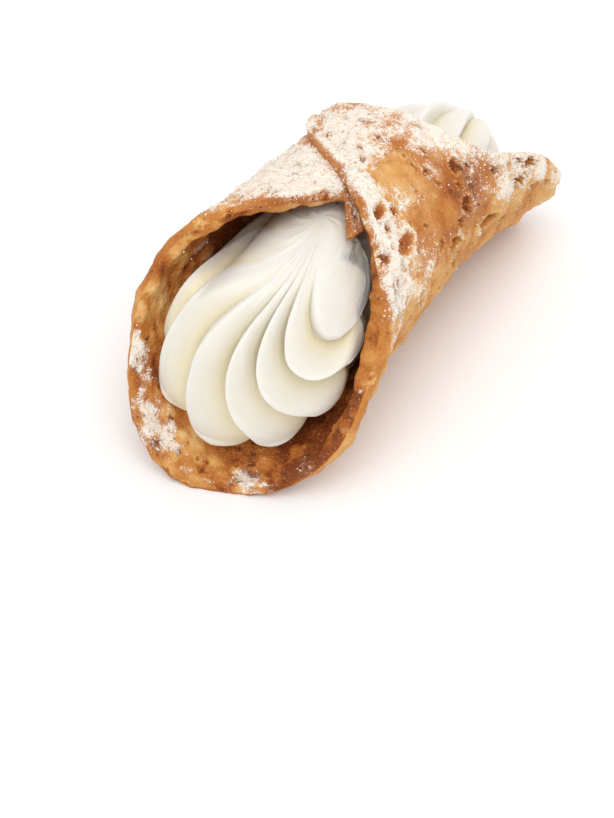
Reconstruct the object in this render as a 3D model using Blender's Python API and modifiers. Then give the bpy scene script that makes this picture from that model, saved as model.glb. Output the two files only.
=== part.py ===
"""A cannolo lying on its two flared lips: a sheet of fried pastry rolled into a tube, and its piped cream.

The tube runs along +Y with its full mouth towards -Y. Angles round the tube are in degrees from straight
down, towards +X. Sizes are in millimetres up to the last step, which turns them into metres.
"""

import math

import bmesh
import bpy
import numpy as np

MILLIMETRE = 0.001

# Tube and sheet
TUBE_RADIUS = 17.5
SHEET_THICKNESS = 1.6
UNDER_END = -213.0
FLAP_END = 243.0
LAP_STEP = 2.6
LAP_START = 72.0
LAP_SPAN = 60.0
TUCK_START = -176.0
TUCK_SPAN = 46.0
TUCK_DEPTH = 1.1

# Front edge of the sheet: a rounded corner, the lip, and two sides that run back round the tube
LIP_ANGLE = -31.0
LIP_REACH = 50.7
LIP_ROUNDING = 16.6
FLAP_SIDE_RISE = 19.4
UNDER_SIDE_RISE = 27.0
SIDE_POWER = 1.21
FLAP_CORNER_RISE = 4.0
FLAP_CORNER_START = 212.0
FLAP_CORNER_SPAN = 30.0
UNDER_CORNER_START = -187.5
UNDER_CORNER_TIP = -205.0
UNDER_CORNER_DROP = 0.8
UNDER_CORNER_RETREAT = 1.0

# Back edge: nearly square to the tube, with a long lip
BACK_EDGE = 15.0
BACK_LIP_ANGLE = 64.0
BACK_LIP_REACH = 29.5
BACK_LIP_FLAP_SPAN = 50.0
BACK_LIP_UNDER_SPAN = 100.0
BACK_UNDER_RETREAT = 2.0
BACK_SHOULDER_ANGLE = 103.0
BACK_SHOULDER_SPAN = 20.0
BACK_SHOULDER_REACH = 2.8

# Flare of the lips, and the swell of the under side beside the mouth
FRONT_FLARE = 12.5
FRONT_FLARE_LENGTH = 31.8
FRONT_FLARE_POWER = 1.66
FRONT_FLARE_ANGLE = 7.5
FRONT_FLARE_LEAST = 0.28
BACK_FLARE = 7.2
BACK_FLARE_LENGTH = 34.0
BACK_FLARE_POWER = 1.32
BACK_FLARE_ANGLE = 9.0
BACK_FLARE_LEAST = 0.19
SWELL = 4.7
SWELL_ANGLE = -127.0
SWELL_SPAN = 50.0
SWELL_START = 20.8
SWELL_LENGTH = 35.0

# How it lies
PITCH = math.radians(4.07)
AXIS_HEIGHT = 24.4
CENTRE_X = -1.8
CENTRE_Y = -4.52
PRESS_SOFTNESS = 0.8
FLATTENED = 0.65

# Blisters
BLISTER_COUNT = 150
BLISTER_RADIUS = (2.6, 5.2)
BLISTER_RISE = (0.5, 1.5)
RIM_WAVE = 0.6
INNER_BLISTER_SHARE = 0.6
INNER_BLISTER_ANGLES = (-190.0, 150.0)
CLEARANCE = 1.3
TURN_MARGIN = 8.0

# Cream
RIDGES = 11
RIDGE_COUNTS = (0.0, 2.0, 6.0, RIDGES)
RIDGE_ANGLES = (222.8, 300.8, 431.7, 582.8)
RIDGE_RISE = 0.22
RIDGE_FALL = 2.0
RIDGE_CREST = 0.8
RIDGE_MEAN = 0.66
VALLEY_CROWDING = 0.07
CORE_RADIUS = 13.6
CORE_TURN = math.radians(21.7)
CORE_PLACES = (6.0, -6.0)
MOUTH_CENTRE = np.array([-1.8, -33.4, -2.0])
MOUTH_NORMAL = np.array([0.221, -0.801, 0.556])
SWIRL_CENTRE = (-1.9, 3.7)
SWIRL_HALF_WIDTH = 20.0
SWIRL_HALF_LENGTH = 24.8
SWIRL_HEIGHT = 12.0
DOME_POWER = 2.4
TIP_SHIFT = (-3.5, 21.4)
TIP_SHIFT_POWER = 0.8
TIP_DIP = 8.5
TIP_DIP_POWER = 4
RIDGE_GROWTH = 1.5
SWIRL_TWIST = math.radians(94.8)
TIP_TWIST = math.radians(115.7)
TWIST_POWER = 1.81
TWIST_SWAY = 0.36
TWIST_SWAY_ANGLE = math.radians(57.7)
RIDGE_HEIGHT = 3.8
HEIGHT_SWAY = 0.42
HEIGHT_SWAY_ANGLE = math.radians(20.0)
LOBE_REACH = 0.14
LOBE_FULLNESS = 0.7
LOBE_MEAN = 0.72
OUTLINE_ANGLES = (25.0, 60.0, 95.0, 130.0, 165.0, 195.0, 218.0, 245.0, 300.0, 345.0)
OUTLINE_REACH = (0.85, 0.84, 0.82, 0.74, 0.74, 0.80, 0.92, 1.01, 1.02, 0.95)
TOP_DROP = 10.0
TOP_START = math.radians(68.0)
TOP_START_SPAN = math.radians(30.0)
TOP_END = math.radians(220.0)
TOP_END_SPAN = math.radians(80.0)
TOP_SOFTENING = 0.6
TOP_SHALLOWNESS = 0.8
STRAIGHT_START = math.radians(38.0)
STRAIGHTENING = 0.85
FILLED_RADIUS = 15.0
PRESSED_ROUNDING = 1.5
UPPER_PART = 10.0
UNDERSIDE_DEPTH = 9.0
UNDERSIDE_NARROWING = 0.10
UNDERSIDE_POWER = 1.6
UNDERSIDE_FADE = 0.4
UNDERSIDE_RINGS = (1.0, 0.6, 0.25)
BACK_SWIRL_RADIUS = 15.6
BACK_SWIRL_LENGTH = 26.0
BACK_SWIRL_START = 14.0
BACK_SWIRL_LEAN = 2.5
BACK_SWIRL_TWIST = 0.6
BACK_RIDGE = 0.2

SHEET_COLUMNS = 88
SHEET_ROWS = 24
EDGE_CROWDING = 0.3
CREAM_RINGS = 40
BACK_RINGS = 11
BLEND_RINGS = 3
POINTS_A_RIDGE = 7


def smooth_step(value):
    """0 below 0, 1 above 1, and an S-shaped rise between."""
    value = np.clip(value, 0.0, 1.0)
    return value * value * (3.0 - 2.0 * value)


def unit(vector):
    return vector / np.linalg.norm(vector)


def front_edge(angle):
    """Where along the tube the sheet's front edge lies at this angle."""
    turn = (angle - LIP_ANGLE) / 100.0
    rounding = LIP_ROUNDING / 100.0
    away = np.sqrt(turn * turn + rounding * rounding) - rounding
    rise = np.where(turn > 0, FLAP_SIDE_RISE, UNDER_SIDE_RISE) * away**SIDE_POWER
    wave = RIM_WAVE * (np.sin(angle * 0.083 + 0.4) + 0.6 * np.sin(angle * 0.171 + 2.0))
    corner = FLAP_CORNER_RISE * smooth_step((angle - FLAP_CORNER_START) / FLAP_CORNER_SPAN)
    drop = UNDER_CORNER_DROP * np.clip(UNDER_CORNER_START - angle, 0.0, UNDER_CORNER_START - UNDER_CORNER_TIP)
    retreat = UNDER_CORNER_RETREAT * np.clip(UNDER_CORNER_TIP - angle, 0.0, None)
    return -LIP_REACH + rise + corner + wave - drop + retreat


def back_edge(angle):
    """Where along the tube the sheet's back edge lies at this angle."""
    span = np.where(angle > BACK_LIP_ANGLE, BACK_LIP_FLAP_SPAN, BACK_LIP_UNDER_SPAN)
    lip = BACK_LIP_REACH * np.exp(-(((angle - BACK_LIP_ANGLE) / span) ** 2))
    wave = RIM_WAVE * (np.sin(angle * 0.091 + 1.7) + 0.6 * np.sin(angle * 0.187 + 0.3))
    shoulder = BACK_SHOULDER_REACH * np.exp(-(((angle - BACK_SHOULDER_ANGLE) / BACK_SHOULDER_SPAN) ** 2))
    return BACK_EDGE + lip + shoulder + wave - BACK_UNDER_RETREAT * smooth_step((-100.0 - angle) / 40.0)


def widening(angle, way, least):
    """How much of a flare shows at this angle: all of it at one angle, the least share opposite."""
    return least + (1.0 - least) * (0.5 + 0.5 * np.cos(np.radians(angle - way)))


def sheet_radius(angle, along):
    """Distance of the sheet's middle surface from the tube's axis."""
    radius = TUBE_RADIUS + LAP_STEP * smooth_step((angle - LAP_START) / LAP_SPAN)
    radius = radius - TUCK_DEPTH * smooth_step((TUCK_START - angle) / TUCK_SPAN)
    front = np.clip((FRONT_FLARE_LENGTH - LIP_REACH - along) / FRONT_FLARE_LENGTH, 0.0, 1.3)
    way = widening(angle, FRONT_FLARE_ANGLE, FRONT_FLARE_LEAST)
    radius = radius + FRONT_FLARE * way * front**FRONT_FLARE_POWER
    far_end = BACK_EDGE + BACK_LIP_REACH
    back = np.clip((along - far_end + BACK_FLARE_LENGTH) / BACK_FLARE_LENGTH, 0.0, 1.3)
    way = widening(angle, BACK_FLARE_ANGLE, BACK_FLARE_LEAST)
    radius = radius + BACK_FLARE * way * back**BACK_FLARE_POWER
    swell = np.clip((SWELL_START - along) / SWELL_LENGTH, 0.0, 1.5)
    return radius + SWELL * swell * np.exp(-(((angle - SWELL_ANGLE) / SWELL_SPAN) ** 2))


def place(points):
    """Points measured from the tube's axis, tipped so that both lips meet the floor."""
    x, y, z = points.T
    sine = math.sin(PITCH)
    cosine = math.cos(PITCH)
    level = np.stack([x, y * cosine + z * sine, z * cosine - y * sine], -1)
    return level + np.array([-CENTRE_X, -CENTRE_Y, AXIS_HEIGHT])


def pressed(points, lowest):
    """Points eased up so that none lies under the lowest height, as a soft sheet lies on a table."""
    over = points[:, 2] - lowest
    points = points.copy()
    points[:, 2] = lowest + 0.5 * (over + np.sqrt(over * over + PRESS_SOFTNESS**2))
    return points


def blister_relief(angle, along, seed):
    """Height of the blistered skin: domes of mixed sizes strewn over the unrolled sheet."""
    random = np.random.default_rng(seed)
    arc = TUBE_RADIUS * np.radians(angle)
    centre_arc = TUBE_RADIUS * np.radians(random.uniform(UNDER_END, FLAP_END, BLISTER_COUNT))
    centre_along = random.uniform(-LIP_REACH, BACK_EDGE + BACK_LIP_REACH, BLISTER_COUNT)
    size = random.uniform(*BLISTER_RADIUS, BLISTER_COUNT)
    rise = random.uniform(*BLISTER_RISE, BLISTER_COUNT)
    distance = np.hypot(arc[:, None] - centre_arc, along[:, None] - centre_along) / size
    return (rise * np.clip(1.0 - distance**2, 0.0, 1.0) ** 1.5).max(axis=1)


def new_material(name, colour, roughness):
    material = bpy.data.materials.new(name)
    material.use_nodes = True
    shader = material.node_tree.nodes["Principled BSDF"]
    shader.inputs["Base Color"].default_value = (*colour, 1.0)
    shader.inputs["Roughness"].default_value = roughness
    shader.inputs["Metallic"].default_value = 0.0
    return material


def add_object(mesh, name, collection, material):
    part = bpy.data.objects.new(name, mesh)
    collection.objects.link(part)
    mesh.materials.append(material)
    mesh.shade_smooth()
    return part


def mesh_points(mesh):
    points = np.empty(len(mesh.vertices) * 3)
    mesh.vertices.foreach_get("co", points)
    return points.reshape(-1, 3)


def put_points(mesh, points):
    mesh.vertices.foreach_set("co", np.ascontiguousarray(points, np.float32).ravel())
    mesh.update()


def sheet_grid():
    """Angle and distance along the tube of every point of the flat sheet, with its mesh."""
    mesh = bpy.data.meshes.new("shell")
    grid = bmesh.new()
    bmesh.ops.create_grid(grid, x_segments=SHEET_COLUMNS, y_segments=SHEET_ROWS, size=1.0)
    grid.to_mesh(mesh)
    grid.free()
    across, share = mesh_points(mesh)[:, :2].T
    share = share * (1.0 + EDGE_CROWDING * (1.0 - share**2))
    angle = UNDER_END + (FLAP_END - UNDER_END) * (across + 1.0) / 2.0
    front = front_edge(angle)
    along = front + (back_edge(angle) - front) * (share + 1.0) / 2.0
    return mesh, angle, along


def build_shell(collection, material):
    """The rolled sheet: a grid bent round the tube, thickened, then blistered."""
    mesh, angle, along = sheet_grid()
    radius = sheet_radius(angle, along)
    turn = np.radians(angle)
    middle = place(np.stack([radius * np.sin(turn), along, -radius * np.cos(turn)], -1))
    put_points(mesh, pressed(middle, SHEET_THICKNESS / 2.0 - FLATTENED) * MILLIMETRE)
    part = add_object(mesh, "shell", collection, material)
    wall = part.modifiers.new("Wall", "SOLIDIFY")
    wall.thickness = SHEET_THICKNESS * MILLIMETRE
    wall.offset = 0.0
    graph = bpy.context.evaluated_depsgraph_get()
    thick = bpy.data.meshes.new_from_object(part.evaluated_get(graph))
    part.modifiers.clear()
    part.data = thick
    bpy.data.meshes.remove(mesh)
    raise_blisters(thick, angle, along)
    return part


def raise_blisters(mesh, angle, along):
    """Lifts blisters off both faces of the wall, and flattens what rests on the floor."""
    points = mesh_points(mesh) / MILLIMETRE
    count = len(angle)
    faces = (points[:count], points[count:])
    turn = np.radians(angle)
    outward = np.stack([np.sin(turn), np.zeros(count), -np.cos(turn)], -1)
    gap = ((faces[0] - faces[1]) * outward).sum(axis=1).mean()
    outer, inner = (0, 1) if gap > 0 else (1, 0)
    covered = smooth_step((along - front_edge(angle + 360.0)) / 3.0 + 1.0) * (angle + 360.0 < FLAP_END + 6.0)
    lifted = smooth_step((faces[outer][:, 2] - 1.5) / 4.0)
    proud = blister_relief(angle, along, 11) * (1.0 - covered) * lifted
    mouth = smooth_step((-along - 14.0) / 14.0) + smooth_step((along - 22.0) / 12.0)
    low, high = INNER_BLISTER_ANGLES
    inside = INNER_BLISTER_SHARE * blister_relief(angle, along, 23) * np.clip(mouth, 0.0, 1.0)
    inside = inside * (angle > low) * (angle < high)
    faces[outer][:] += outward * proud[:, None]
    faces[inner][:] -= outward * inside[:, None]
    points[:, 2] = np.maximum(points[:, 2], 0.0)
    put_points(mesh, points * MILLIMETRE)


def ridge_profile(phase):
    """Height of a piped ridge across its width: a short steep rise out of the valley, then a long fall."""
    share = np.mod(phase, 1.0)
    return smooth_step(share / RIDGE_RISE) * (1.0 - share**RIDGE_FALL) ** RIDGE_CREST


def lobe_profile(phase):
    """How far a ridge stands out at the swirl's edge: a full round arch."""
    return np.sin(np.pi * np.mod(phase, 1.0)) ** LOBE_FULLNESS - LOBE_MEAN


def ridge_angle(phase):
    """Angle round the swirl's edge of a ridge, counted in ridges: wide in front, closer together behind."""
    return np.radians(np.interp(phase, RIDGE_COUNTS, RIDGE_ANGLES))


def outline_reach(edge):
    """How far the swirl's outline reaches at each angle: full at the lower lip, drawn in at the top."""
    return np.interp(np.degrees(edge) % 360.0, OUTLINE_ANGLES, OUTLINE_REACH, period=360.0)


def top_share(edge, start):
    """1 for the ridges at the top of the mouth, 0 for those at the sides and below, with ramps between."""
    turn = np.mod(edge, 2.0 * np.pi)
    return smooth_step((turn - start) / TOP_START_SPAN) * smooth_step((TOP_END - turn) / TOP_END_SPAN)


def innermost_radius(points):
    """Radius of the wall's inner face at the angle and place of each point."""
    angle = np.degrees(np.arctan2(points[:, 0], -points[:, 2]))
    rooms = [sheet_radius(angle + turn, points[:, 1]) for turn in (0.0, -360.0)]
    wrapped = np.where(angle - 360.0 > UNDER_END - TURN_MARGIN, rooms[1], rooms[0])
    return np.minimum(rooms[0], wrapped) - SHEET_THICKNESS / 2.0


def kept_inside(points):
    """Points drawn in to leave a gap to the wall round them."""
    reach = np.hypot(points[:, 0], points[:, 2])
    room = innermost_radius(points) - CLEARANCE
    shrink = np.minimum(1.0, room / np.maximum(reach, 1e-6))
    return points * np.stack([shrink, np.ones(len(points)), shrink], -1)


def mouth_axes():
    """Directions across the mouth and up its slope, square to the way it faces."""
    facing = unit(MOUTH_NORMAL)
    up_slope = unit(np.array([0.0, 1.0, 0.0]) - facing[1] * facing)
    return np.cross(up_slope, facing), up_slope, facing


def height_in_tube(a, b):
    """How far out of the mouth the round of the tube allows at a place on the mouth's plane."""
    across, up_slope, facing = mouth_axes()
    x = MOUTH_CENTRE[0] + a * across[0] + b * up_slope[0]
    z = MOUTH_CENTRE[2] + a * across[2] + b * up_slope[2]
    square = facing[0] ** 2 + facing[2] ** 2
    lean = x * facing[0] + z * facing[2]
    inside = np.clip(lean**2 - square * (x**2 + z**2 - FILLED_RADIUS**2), 0.0, None)
    return (np.sqrt(inside) - lean) / square


def front_swirl(phase, scale, under):
    """A point of the front swirl: an oval ring drawn towards the tip, curled, domed and ridged.

    Scale shrinks the ring from its edge to the tip, and under counts down round its edge into the tube."""
    across, up_slope, facing = mouth_axes()
    edge = ridge_angle(phase)
    top = top_share(edge, TOP_START)
    curl = SWIRL_TWIST * (1.0 + TWIST_SWAY * np.cos(edge - TWIST_SWAY_ANGLE)) * (1.0 - scale**TWIST_POWER)
    straight = 1.0 - STRAIGHTENING * top_share(edge, STRAIGHT_START)
    around = edge + (TIP_TWIST * (1.0 - scale) ** 2 - curl) * straight
    size = scale * (1.0 - UNDERSIDE_NARROWING * under**UNDERSIDE_POWER)
    size = size * (1.0 + LOBE_REACH * lobe_profile(phase) * scale)
    size = size * (1.0 + (outline_reach(edge) - 1.0) * scale**3)
    shift = (1.0 - scale) ** TIP_SHIFT_POWER
    a = size * np.cos(around) * SWIRL_HALF_WIDTH + shift * TIP_SHIFT[0]
    b = size * np.sin(around) * SWIRL_HALF_LENGTH + shift * TIP_SHIFT[1]
    out = np.clip(np.hypot(a / SWIRL_HALF_WIDTH, b / SWIRL_HALF_LENGTH), 0.0, 1.0)
    above = 1.0 - smooth_step(under / UNDERSIDE_FADE)
    dome = SWIRL_HEIGHT * (1.0 - out**DOME_POWER) * above - TIP_DIP * (1.0 - scale) ** TIP_DIP_POWER
    tall = RIDGE_HEIGHT * (1.0 + HEIGHT_SWAY * np.cos(edge - HEIGHT_SWAY_ANGLE)) * (1.0 - TOP_SOFTENING * top)
    height = dome + tall * (ridge_profile(phase) - RIDGE_MEAN) * smooth_step(RIDGE_GROWTH * scale) * above
    a = a + SWIRL_CENTRE[0]
    b = b + SWIRL_CENTRE[1]
    over = height - height_in_tube(a, b)
    height = height - 0.5 * (over + np.sqrt(over * over + PRESSED_ROUNDING**2)) * smooth_step(b / UPPER_PART)
    height = height - TOP_DROP * top * scale * scale - UNDERSIDE_DEPTH * under * (1.0 - TOP_SHALLOWNESS * top)
    return MOUTH_CENTRE + a[:, None] * across + b[:, None] * up_slope + height[:, None] * facing


def back_swirl(phase, share):
    """A point of the back swirl: a star that narrows to a tip."""
    along = BACK_SWIRL_START + BACK_SWIRL_LENGTH * share
    narrowing = np.sqrt(np.clip(1.0 - share**2.2, 0.0, 1.0))
    star = 1.0 + BACK_RIDGE * (ridge_profile(phase) - RIDGE_MEAN) * smooth_step(share * 6.0 + 0.3)
    radius = BACK_SWIRL_RADIUS * narrowing * star
    around = ridge_angle(phase) + BACK_SWIRL_TWIST * share
    return np.stack([radius * np.cos(around) + BACK_SWIRL_LEAN * share, along, radius * np.sin(around)], -1)


def core_ring(phase, along):
    """A plain round ring of the filling inside the tube."""
    around = ridge_angle(phase) - CORE_TURN
    places = np.full(len(phase), along)
    return np.stack([CORE_RADIUS * np.cos(around), places, CORE_RADIUS * np.sin(around)], -1)


def cream_point(ring, phase):
    """Where a point of the filling lies, from its ring, counted from the back tip, and its ridge."""
    points = np.zeros((len(ring), 3))
    here = ring <= BACK_RINGS
    share = np.sin((1.0 - ring[here] / BACK_RINGS) * np.pi / 2.0)
    points[here] = back_swirl(phase[here], share)
    for number, along in enumerate(CORE_PLACES):
        here = ring == BACK_RINGS + 1 + number
        points[here] = core_ring(phase[here], along)
    first = BACK_RINGS + len(CORE_PLACES) + 1
    for number in range(BLEND_RINGS):
        here = ring == first + number
        share = (number + 1.0) / (BLEND_RINGS + 1.0)
        full = np.ones(here.sum())
        outer = front_swirl(phase[here], full, full * UNDERSIDE_RINGS[0])
        points[here] = (1.0 - share) * core_ring(phase[here], CORE_PLACES[-1]) + share * outer
    first = first + BLEND_RINGS
    for number, under in enumerate(UNDERSIDE_RINGS):
        here = ring == first + number
        full = np.ones(here.sum())
        points[here] = front_swirl(phase[here], full, full * under)
    first = first + len(UNDERSIDE_RINGS)
    here = ring >= first
    left = (CREAM_RINGS - ring[here]) / (CREAM_RINGS - first)
    points[here] = front_swirl(phase[here], np.sin(left * np.pi / 2.0), np.zeros(here.sum()))
    return kept_inside(points)


def build_cream(collection, material):
    """The filling: one body through the tube, a ball whose rings become swirl, core and swirl."""
    mesh = bpy.data.meshes.new("cream")
    ball = bmesh.new()
    bmesh.ops.create_uvsphere(ball, u_segments=POINTS_A_RIDGE * RIDGES, v_segments=CREAM_RINGS, radius=1.0)
    ball.to_mesh(mesh)
    ball.free()
    x, y, z = mesh_points(mesh).T
    ring = np.rint(np.arccos(np.clip(-z, -1.0, 1.0)) / np.pi * CREAM_RINGS)
    column = np.rint(np.mod(np.arctan2(y, x) / (2.0 * np.pi), 1.0) * POINTS_A_RIDGE * RIDGES)
    phase = column / POINTS_A_RIDGE
    phase = phase - VALLEY_CROWDING * np.sin(2.0 * np.pi * phase)
    points = place(cream_point(ring, phase))
    put_points(mesh, points * MILLIMETRE)
    part = add_object(mesh, "cream", collection, material)
    turned = bmesh.new()
    turned.from_mesh(mesh)
    bmesh.ops.recalc_face_normals(turned, faces=turned.faces)
    turned.to_mesh(mesh)
    turned.free()
    return part


def main():
    for old in list(bpy.data.objects):
        bpy.data.objects.remove(old, do_unlink=True)
    collection = bpy.data.collections.new("cannolo")
    bpy.context.scene.collection.children.link(collection)
    pastry = new_material("fried pastry", (0.62, 0.33, 0.12), 0.55)
    cream = new_material("piped cream", (0.90, 0.84, 0.70), 0.45)
    build_shell(collection, pastry)
    build_cream(collection, cream)


main()
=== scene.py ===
# %% [markdown]
# A cannolo is a thin round of dough, rolled round a metal tube so that one side laps over the other, and
# fried until it blisters. Cooled and slipped off the tube, it is filled from both ends with piped cream
# and dusted with fine sugar. This lesson dresses the plain solids of one cannolo, lying on its side, with
# the blistered crust, the ridged cream and the sugar that the real one shows.
#
# The first cell loads the plain solids. They give the frame: every length of the pastry is in millimetres
# in that same frame, and is turned into metres only when it goes into a mesh.

# %% The frame
import math
from itertools import combinations

import bpy
import numpy as np
from mathutils import Matrix


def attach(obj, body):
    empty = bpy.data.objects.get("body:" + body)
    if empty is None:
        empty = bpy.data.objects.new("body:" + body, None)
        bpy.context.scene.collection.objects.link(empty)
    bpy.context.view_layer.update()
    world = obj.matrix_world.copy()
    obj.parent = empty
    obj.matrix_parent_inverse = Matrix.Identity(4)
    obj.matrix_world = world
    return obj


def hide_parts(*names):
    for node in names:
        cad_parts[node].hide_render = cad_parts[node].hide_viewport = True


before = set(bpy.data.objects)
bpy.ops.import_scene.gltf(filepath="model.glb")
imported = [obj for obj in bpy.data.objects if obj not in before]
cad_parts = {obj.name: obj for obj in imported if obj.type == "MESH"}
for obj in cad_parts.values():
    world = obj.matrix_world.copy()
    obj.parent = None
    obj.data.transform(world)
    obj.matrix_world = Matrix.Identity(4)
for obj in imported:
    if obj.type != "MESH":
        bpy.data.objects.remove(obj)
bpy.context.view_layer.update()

MILLIMETRE = 0.001


# %% [markdown]
# The camera comes first, because the picture decides how fine the rest must be. The tube's axis is the
# natural place to measure from, so the camera is given as if the tube lay level: so many degrees round
# it, so many degrees above it. The pastry lies tipped by a few degrees, with both lips on the table, and
# the same tip is then given to the camera. Both lips, the mouth and the lapped edge then fall where they
# do in the picture.

# %% How the pastry lies, and the camera
PITCH = math.radians(4.07)
AXIS_HEIGHT, CENTRE_X, CENTRE_Y = 24.4, -1.8, -4.52
CAMERA_ROUND, CAMERA_ABOVE, CAMERA_DISTANCE = math.radians(29.16), math.radians(45.15), 567.5
AIM_LEFT, AIM_BELOW = 9.7, 33.2
LENS, FILM_HEIGHT = 129.5, 36.0


def tipped(points):
    """Points or directions measured along the level tube, turned by the pitch about the X axis."""
    x, y, z = points.T
    sine, cosine = math.sin(PITCH), math.cos(PITCH)
    return np.stack([x, y * cosine + z * sine, z * cosine - y * sine], -1)


def place(points):
    """Points measured from the tube's axis, put where they lie in the frame: tipped, then shifted."""
    return tipped(points) + np.array([-CENTRE_X, -CENTRE_Y, AXIS_HEIGHT])


def looking_axes(way_round, above):
    """Right, up and backwards of something that looks at the tube from these two angles.

    Backwards comes from their sines and cosines, right lies level, and up is the cross product."""
    away = np.array([math.sin(way_round) * math.cos(above), -math.cos(way_round) * math.cos(above),
                     math.sin(above)])
    right = np.array([math.cos(way_round), math.sin(way_round), 0.0])
    return right, np.cross(away, right), away


def aimed(right, up, away, position):
    """Matrix of something at this position with these three directions to its right, up and backwards."""
    return Matrix([[*row] for row in np.stack([right, up, away, position], -1)] + [[0.0, 0.0, 0.0, 1.0]])


def add_object(name, data):
    """A new object in the scene that holds this data."""
    holder = bpy.data.objects.new(name, data)
    bpy.context.scene.collection.objects.link(holder)
    return holder


def add_camera():
    """A camera aimed a little left of the tube and below it, so that the pastry sits high in the picture."""
    right, up, away = looking_axes(CAMERA_ROUND, CAMERA_ABOVE)
    position = place((away * CAMERA_DISTANCE - right * AIM_LEFT - up * AIM_BELOW)[None])[0] * MILLIMETRE
    lens = bpy.data.cameras.new("camera")
    lens.sensor_fit = "VERTICAL"
    lens.sensor_height = FILM_HEIGHT
    lens.lens = LENS
    camera = add_object("camera", lens)
    camera.matrix_world = aimed(*tipped(np.stack([right, up, away])), position)
    bpy.context.scene.camera = camera
    return camera


camera = add_camera()
print("camera at", [round(v, 3) for v in camera.matrix_world.translation])

# %% [markdown]
# Two curves do most of the work in this lesson. An S-shaped step eases one value over into another, as at
# the step of the lap, and a bell raises or lowers one spot and leaves the rest alone.

# %% Two curves
def smooth_step(value, start=0.0, span=1.0):
    """0 up to start, 1 from one span on, and an S-shaped rise between; a negative span runs the other way."""
    share = np.clip((value - start) / span, 0.0, 1.0)
    return share * share * (3.0 - 2.0 * share)


def bell(offset, span):
    """1 where the offset is nothing, falling off to both sides as the exponential of minus its square."""
    return np.exp(-((offset / span) ** 2))


print("one span off, a bell is still", round(float(bell(1.0, 1.0)), 2), "of its height")

# %% [markdown]
# The crust starts as one sheet. Everything about it comes from two numbers: the angle round the tube, in
# degrees from straight down towards +X, and the place along the tube. Two functions say where the sheet's
# front and back edges lie at each angle, and a third says how far from the axis it is. The edges make the
# long lower lip, the lapped corner on top and the tongue at the back. The radius makes the step of the
# lap and the flare of the lips. A rolled primitive could give the tube, but not these edges, so the
# sheet is worked out as a whole array of points.

# %% The rolled sheet
FULL_TURN = 360.0
TUBE_RADIUS, SHEET_THICKNESS = 17.5, 1.6
UNDER_END, FLAP_END = -213.0, 243.0
LAP_STEP, LAP_START, LAP_SPAN = 2.6, 72.0, 60.0
TUCK_DEPTH, TUCK_START, TUCK_SPAN = 1.1, -176.0, 46.0
LIP_ANGLE, LIP_REACH, LIP_ROUNDING = -31.0, 50.7, 16.6
FLAP_SIDE_RISE, UNDER_SIDE_RISE, SIDE_POWER, SIDE_SPAN = 19.4, 27.0, 1.21, 100.0
FLAP_CORNER_RISE, FLAP_CORNER_START, FLAP_CORNER_SPAN = 4.0, 212.0, 30.0
UNDER_CORNER_START, UNDER_CORNER_TIP, UNDER_CORNER_DROP, UNDER_CORNER_RETREAT = -187.5, -205.0, 0.8, 1.0
BACK_EDGE, BACK_LIP_ANGLE, BACK_LIP_REACH = 15.0, 64.0, 29.5
BACK_LIP_FLAP_SPAN, BACK_LIP_UNDER_SPAN = 50.0, 100.0
BACK_UNDER_RETREAT, BACK_UNDER_START, BACK_UNDER_SPAN = 2.0, -100.0, 40.0
BACK_SHOULDER_ANGLE, BACK_SHOULDER_SPAN, BACK_SHOULDER_REACH = 103.0, 20.0, 2.8
BACK_TIP_ANGLE, BACK_TIP_SPAN, BACK_TIP_CUT = 69.0, 13.0, 1.5
SWELL, SWELL_ANGLE, SWELL_SPAN, SWELL_START, SWELL_LENGTH, SWELL_MOST = 4.7, -127.0, 50.0, 20.8, 35.0, 1.5
# Each flare: its height, its length along the tube, its power, the angle where it shows most, and the
# least share of it on the opposite side.
FRONT_FLARE, BACK_FLARE, FLARE_MOST = (12.5, 31.8, 1.66, 7.5, 0.28), (7.2, 34.0, 1.32, 9.0, 0.19), 1.3
# The waves of each edge: radians for each degree round, a shift, and a share of the full height.
RIM_WAVE = 0.2
FRONT_WAVES = ((0.083, 0.4, 1.0), (0.171, 2.0, 0.6))
BACK_WAVES = ((0.091, 1.7, 1.0), (0.187, 0.3, 0.6))


def rim_wave(angle, waves):
    """Slow wave of an edge: a sum of sines of the angle."""
    return RIM_WAVE * sum(share * np.sin(angle * pace + shift) for pace, shift, share in waves)


def front_edge(angle):
    """Where along the tube the front edge lies: least at the lip, rising by a power on both sides of it."""
    turn, rounding = (angle - LIP_ANGLE) / SIDE_SPAN, LIP_ROUNDING / SIDE_SPAN
    away = np.sqrt(turn * turn + rounding * rounding) - rounding
    rise = np.where(turn > 0, FLAP_SIDE_RISE, UNDER_SIDE_RISE) * away**SIDE_POWER
    corner = FLAP_CORNER_RISE * smooth_step(angle, FLAP_CORNER_START, FLAP_CORNER_SPAN)
    drop = UNDER_CORNER_DROP * np.clip(UNDER_CORNER_START - angle, 0.0, UNDER_CORNER_START - UNDER_CORNER_TIP)
    retreat = UNDER_CORNER_RETREAT * np.clip(UNDER_CORNER_TIP - angle, 0.0, None)
    return -LIP_REACH + rise + corner + rim_wave(angle, FRONT_WAVES) - drop + retreat


def back_edge(angle):
    """Where along the tube the back edge lies: square to the tube, with one tongue made of bell curves."""
    span = np.where(angle > BACK_LIP_ANGLE, BACK_LIP_FLAP_SPAN, BACK_LIP_UNDER_SPAN)
    lip = BACK_LIP_REACH * bell(angle - BACK_LIP_ANGLE, span)
    shoulder = BACK_SHOULDER_REACH * bell(angle - BACK_SHOULDER_ANGLE, BACK_SHOULDER_SPAN)
    blunt = BACK_TIP_CUT * bell(angle - BACK_TIP_ANGLE, BACK_TIP_SPAN)
    retreat = BACK_UNDER_RETREAT * smooth_step(angle, BACK_UNDER_START, -BACK_UNDER_SPAN)
    return BACK_EDGE + lip + shoulder - blunt + rim_wave(angle, BACK_WAVES) - retreat


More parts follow.
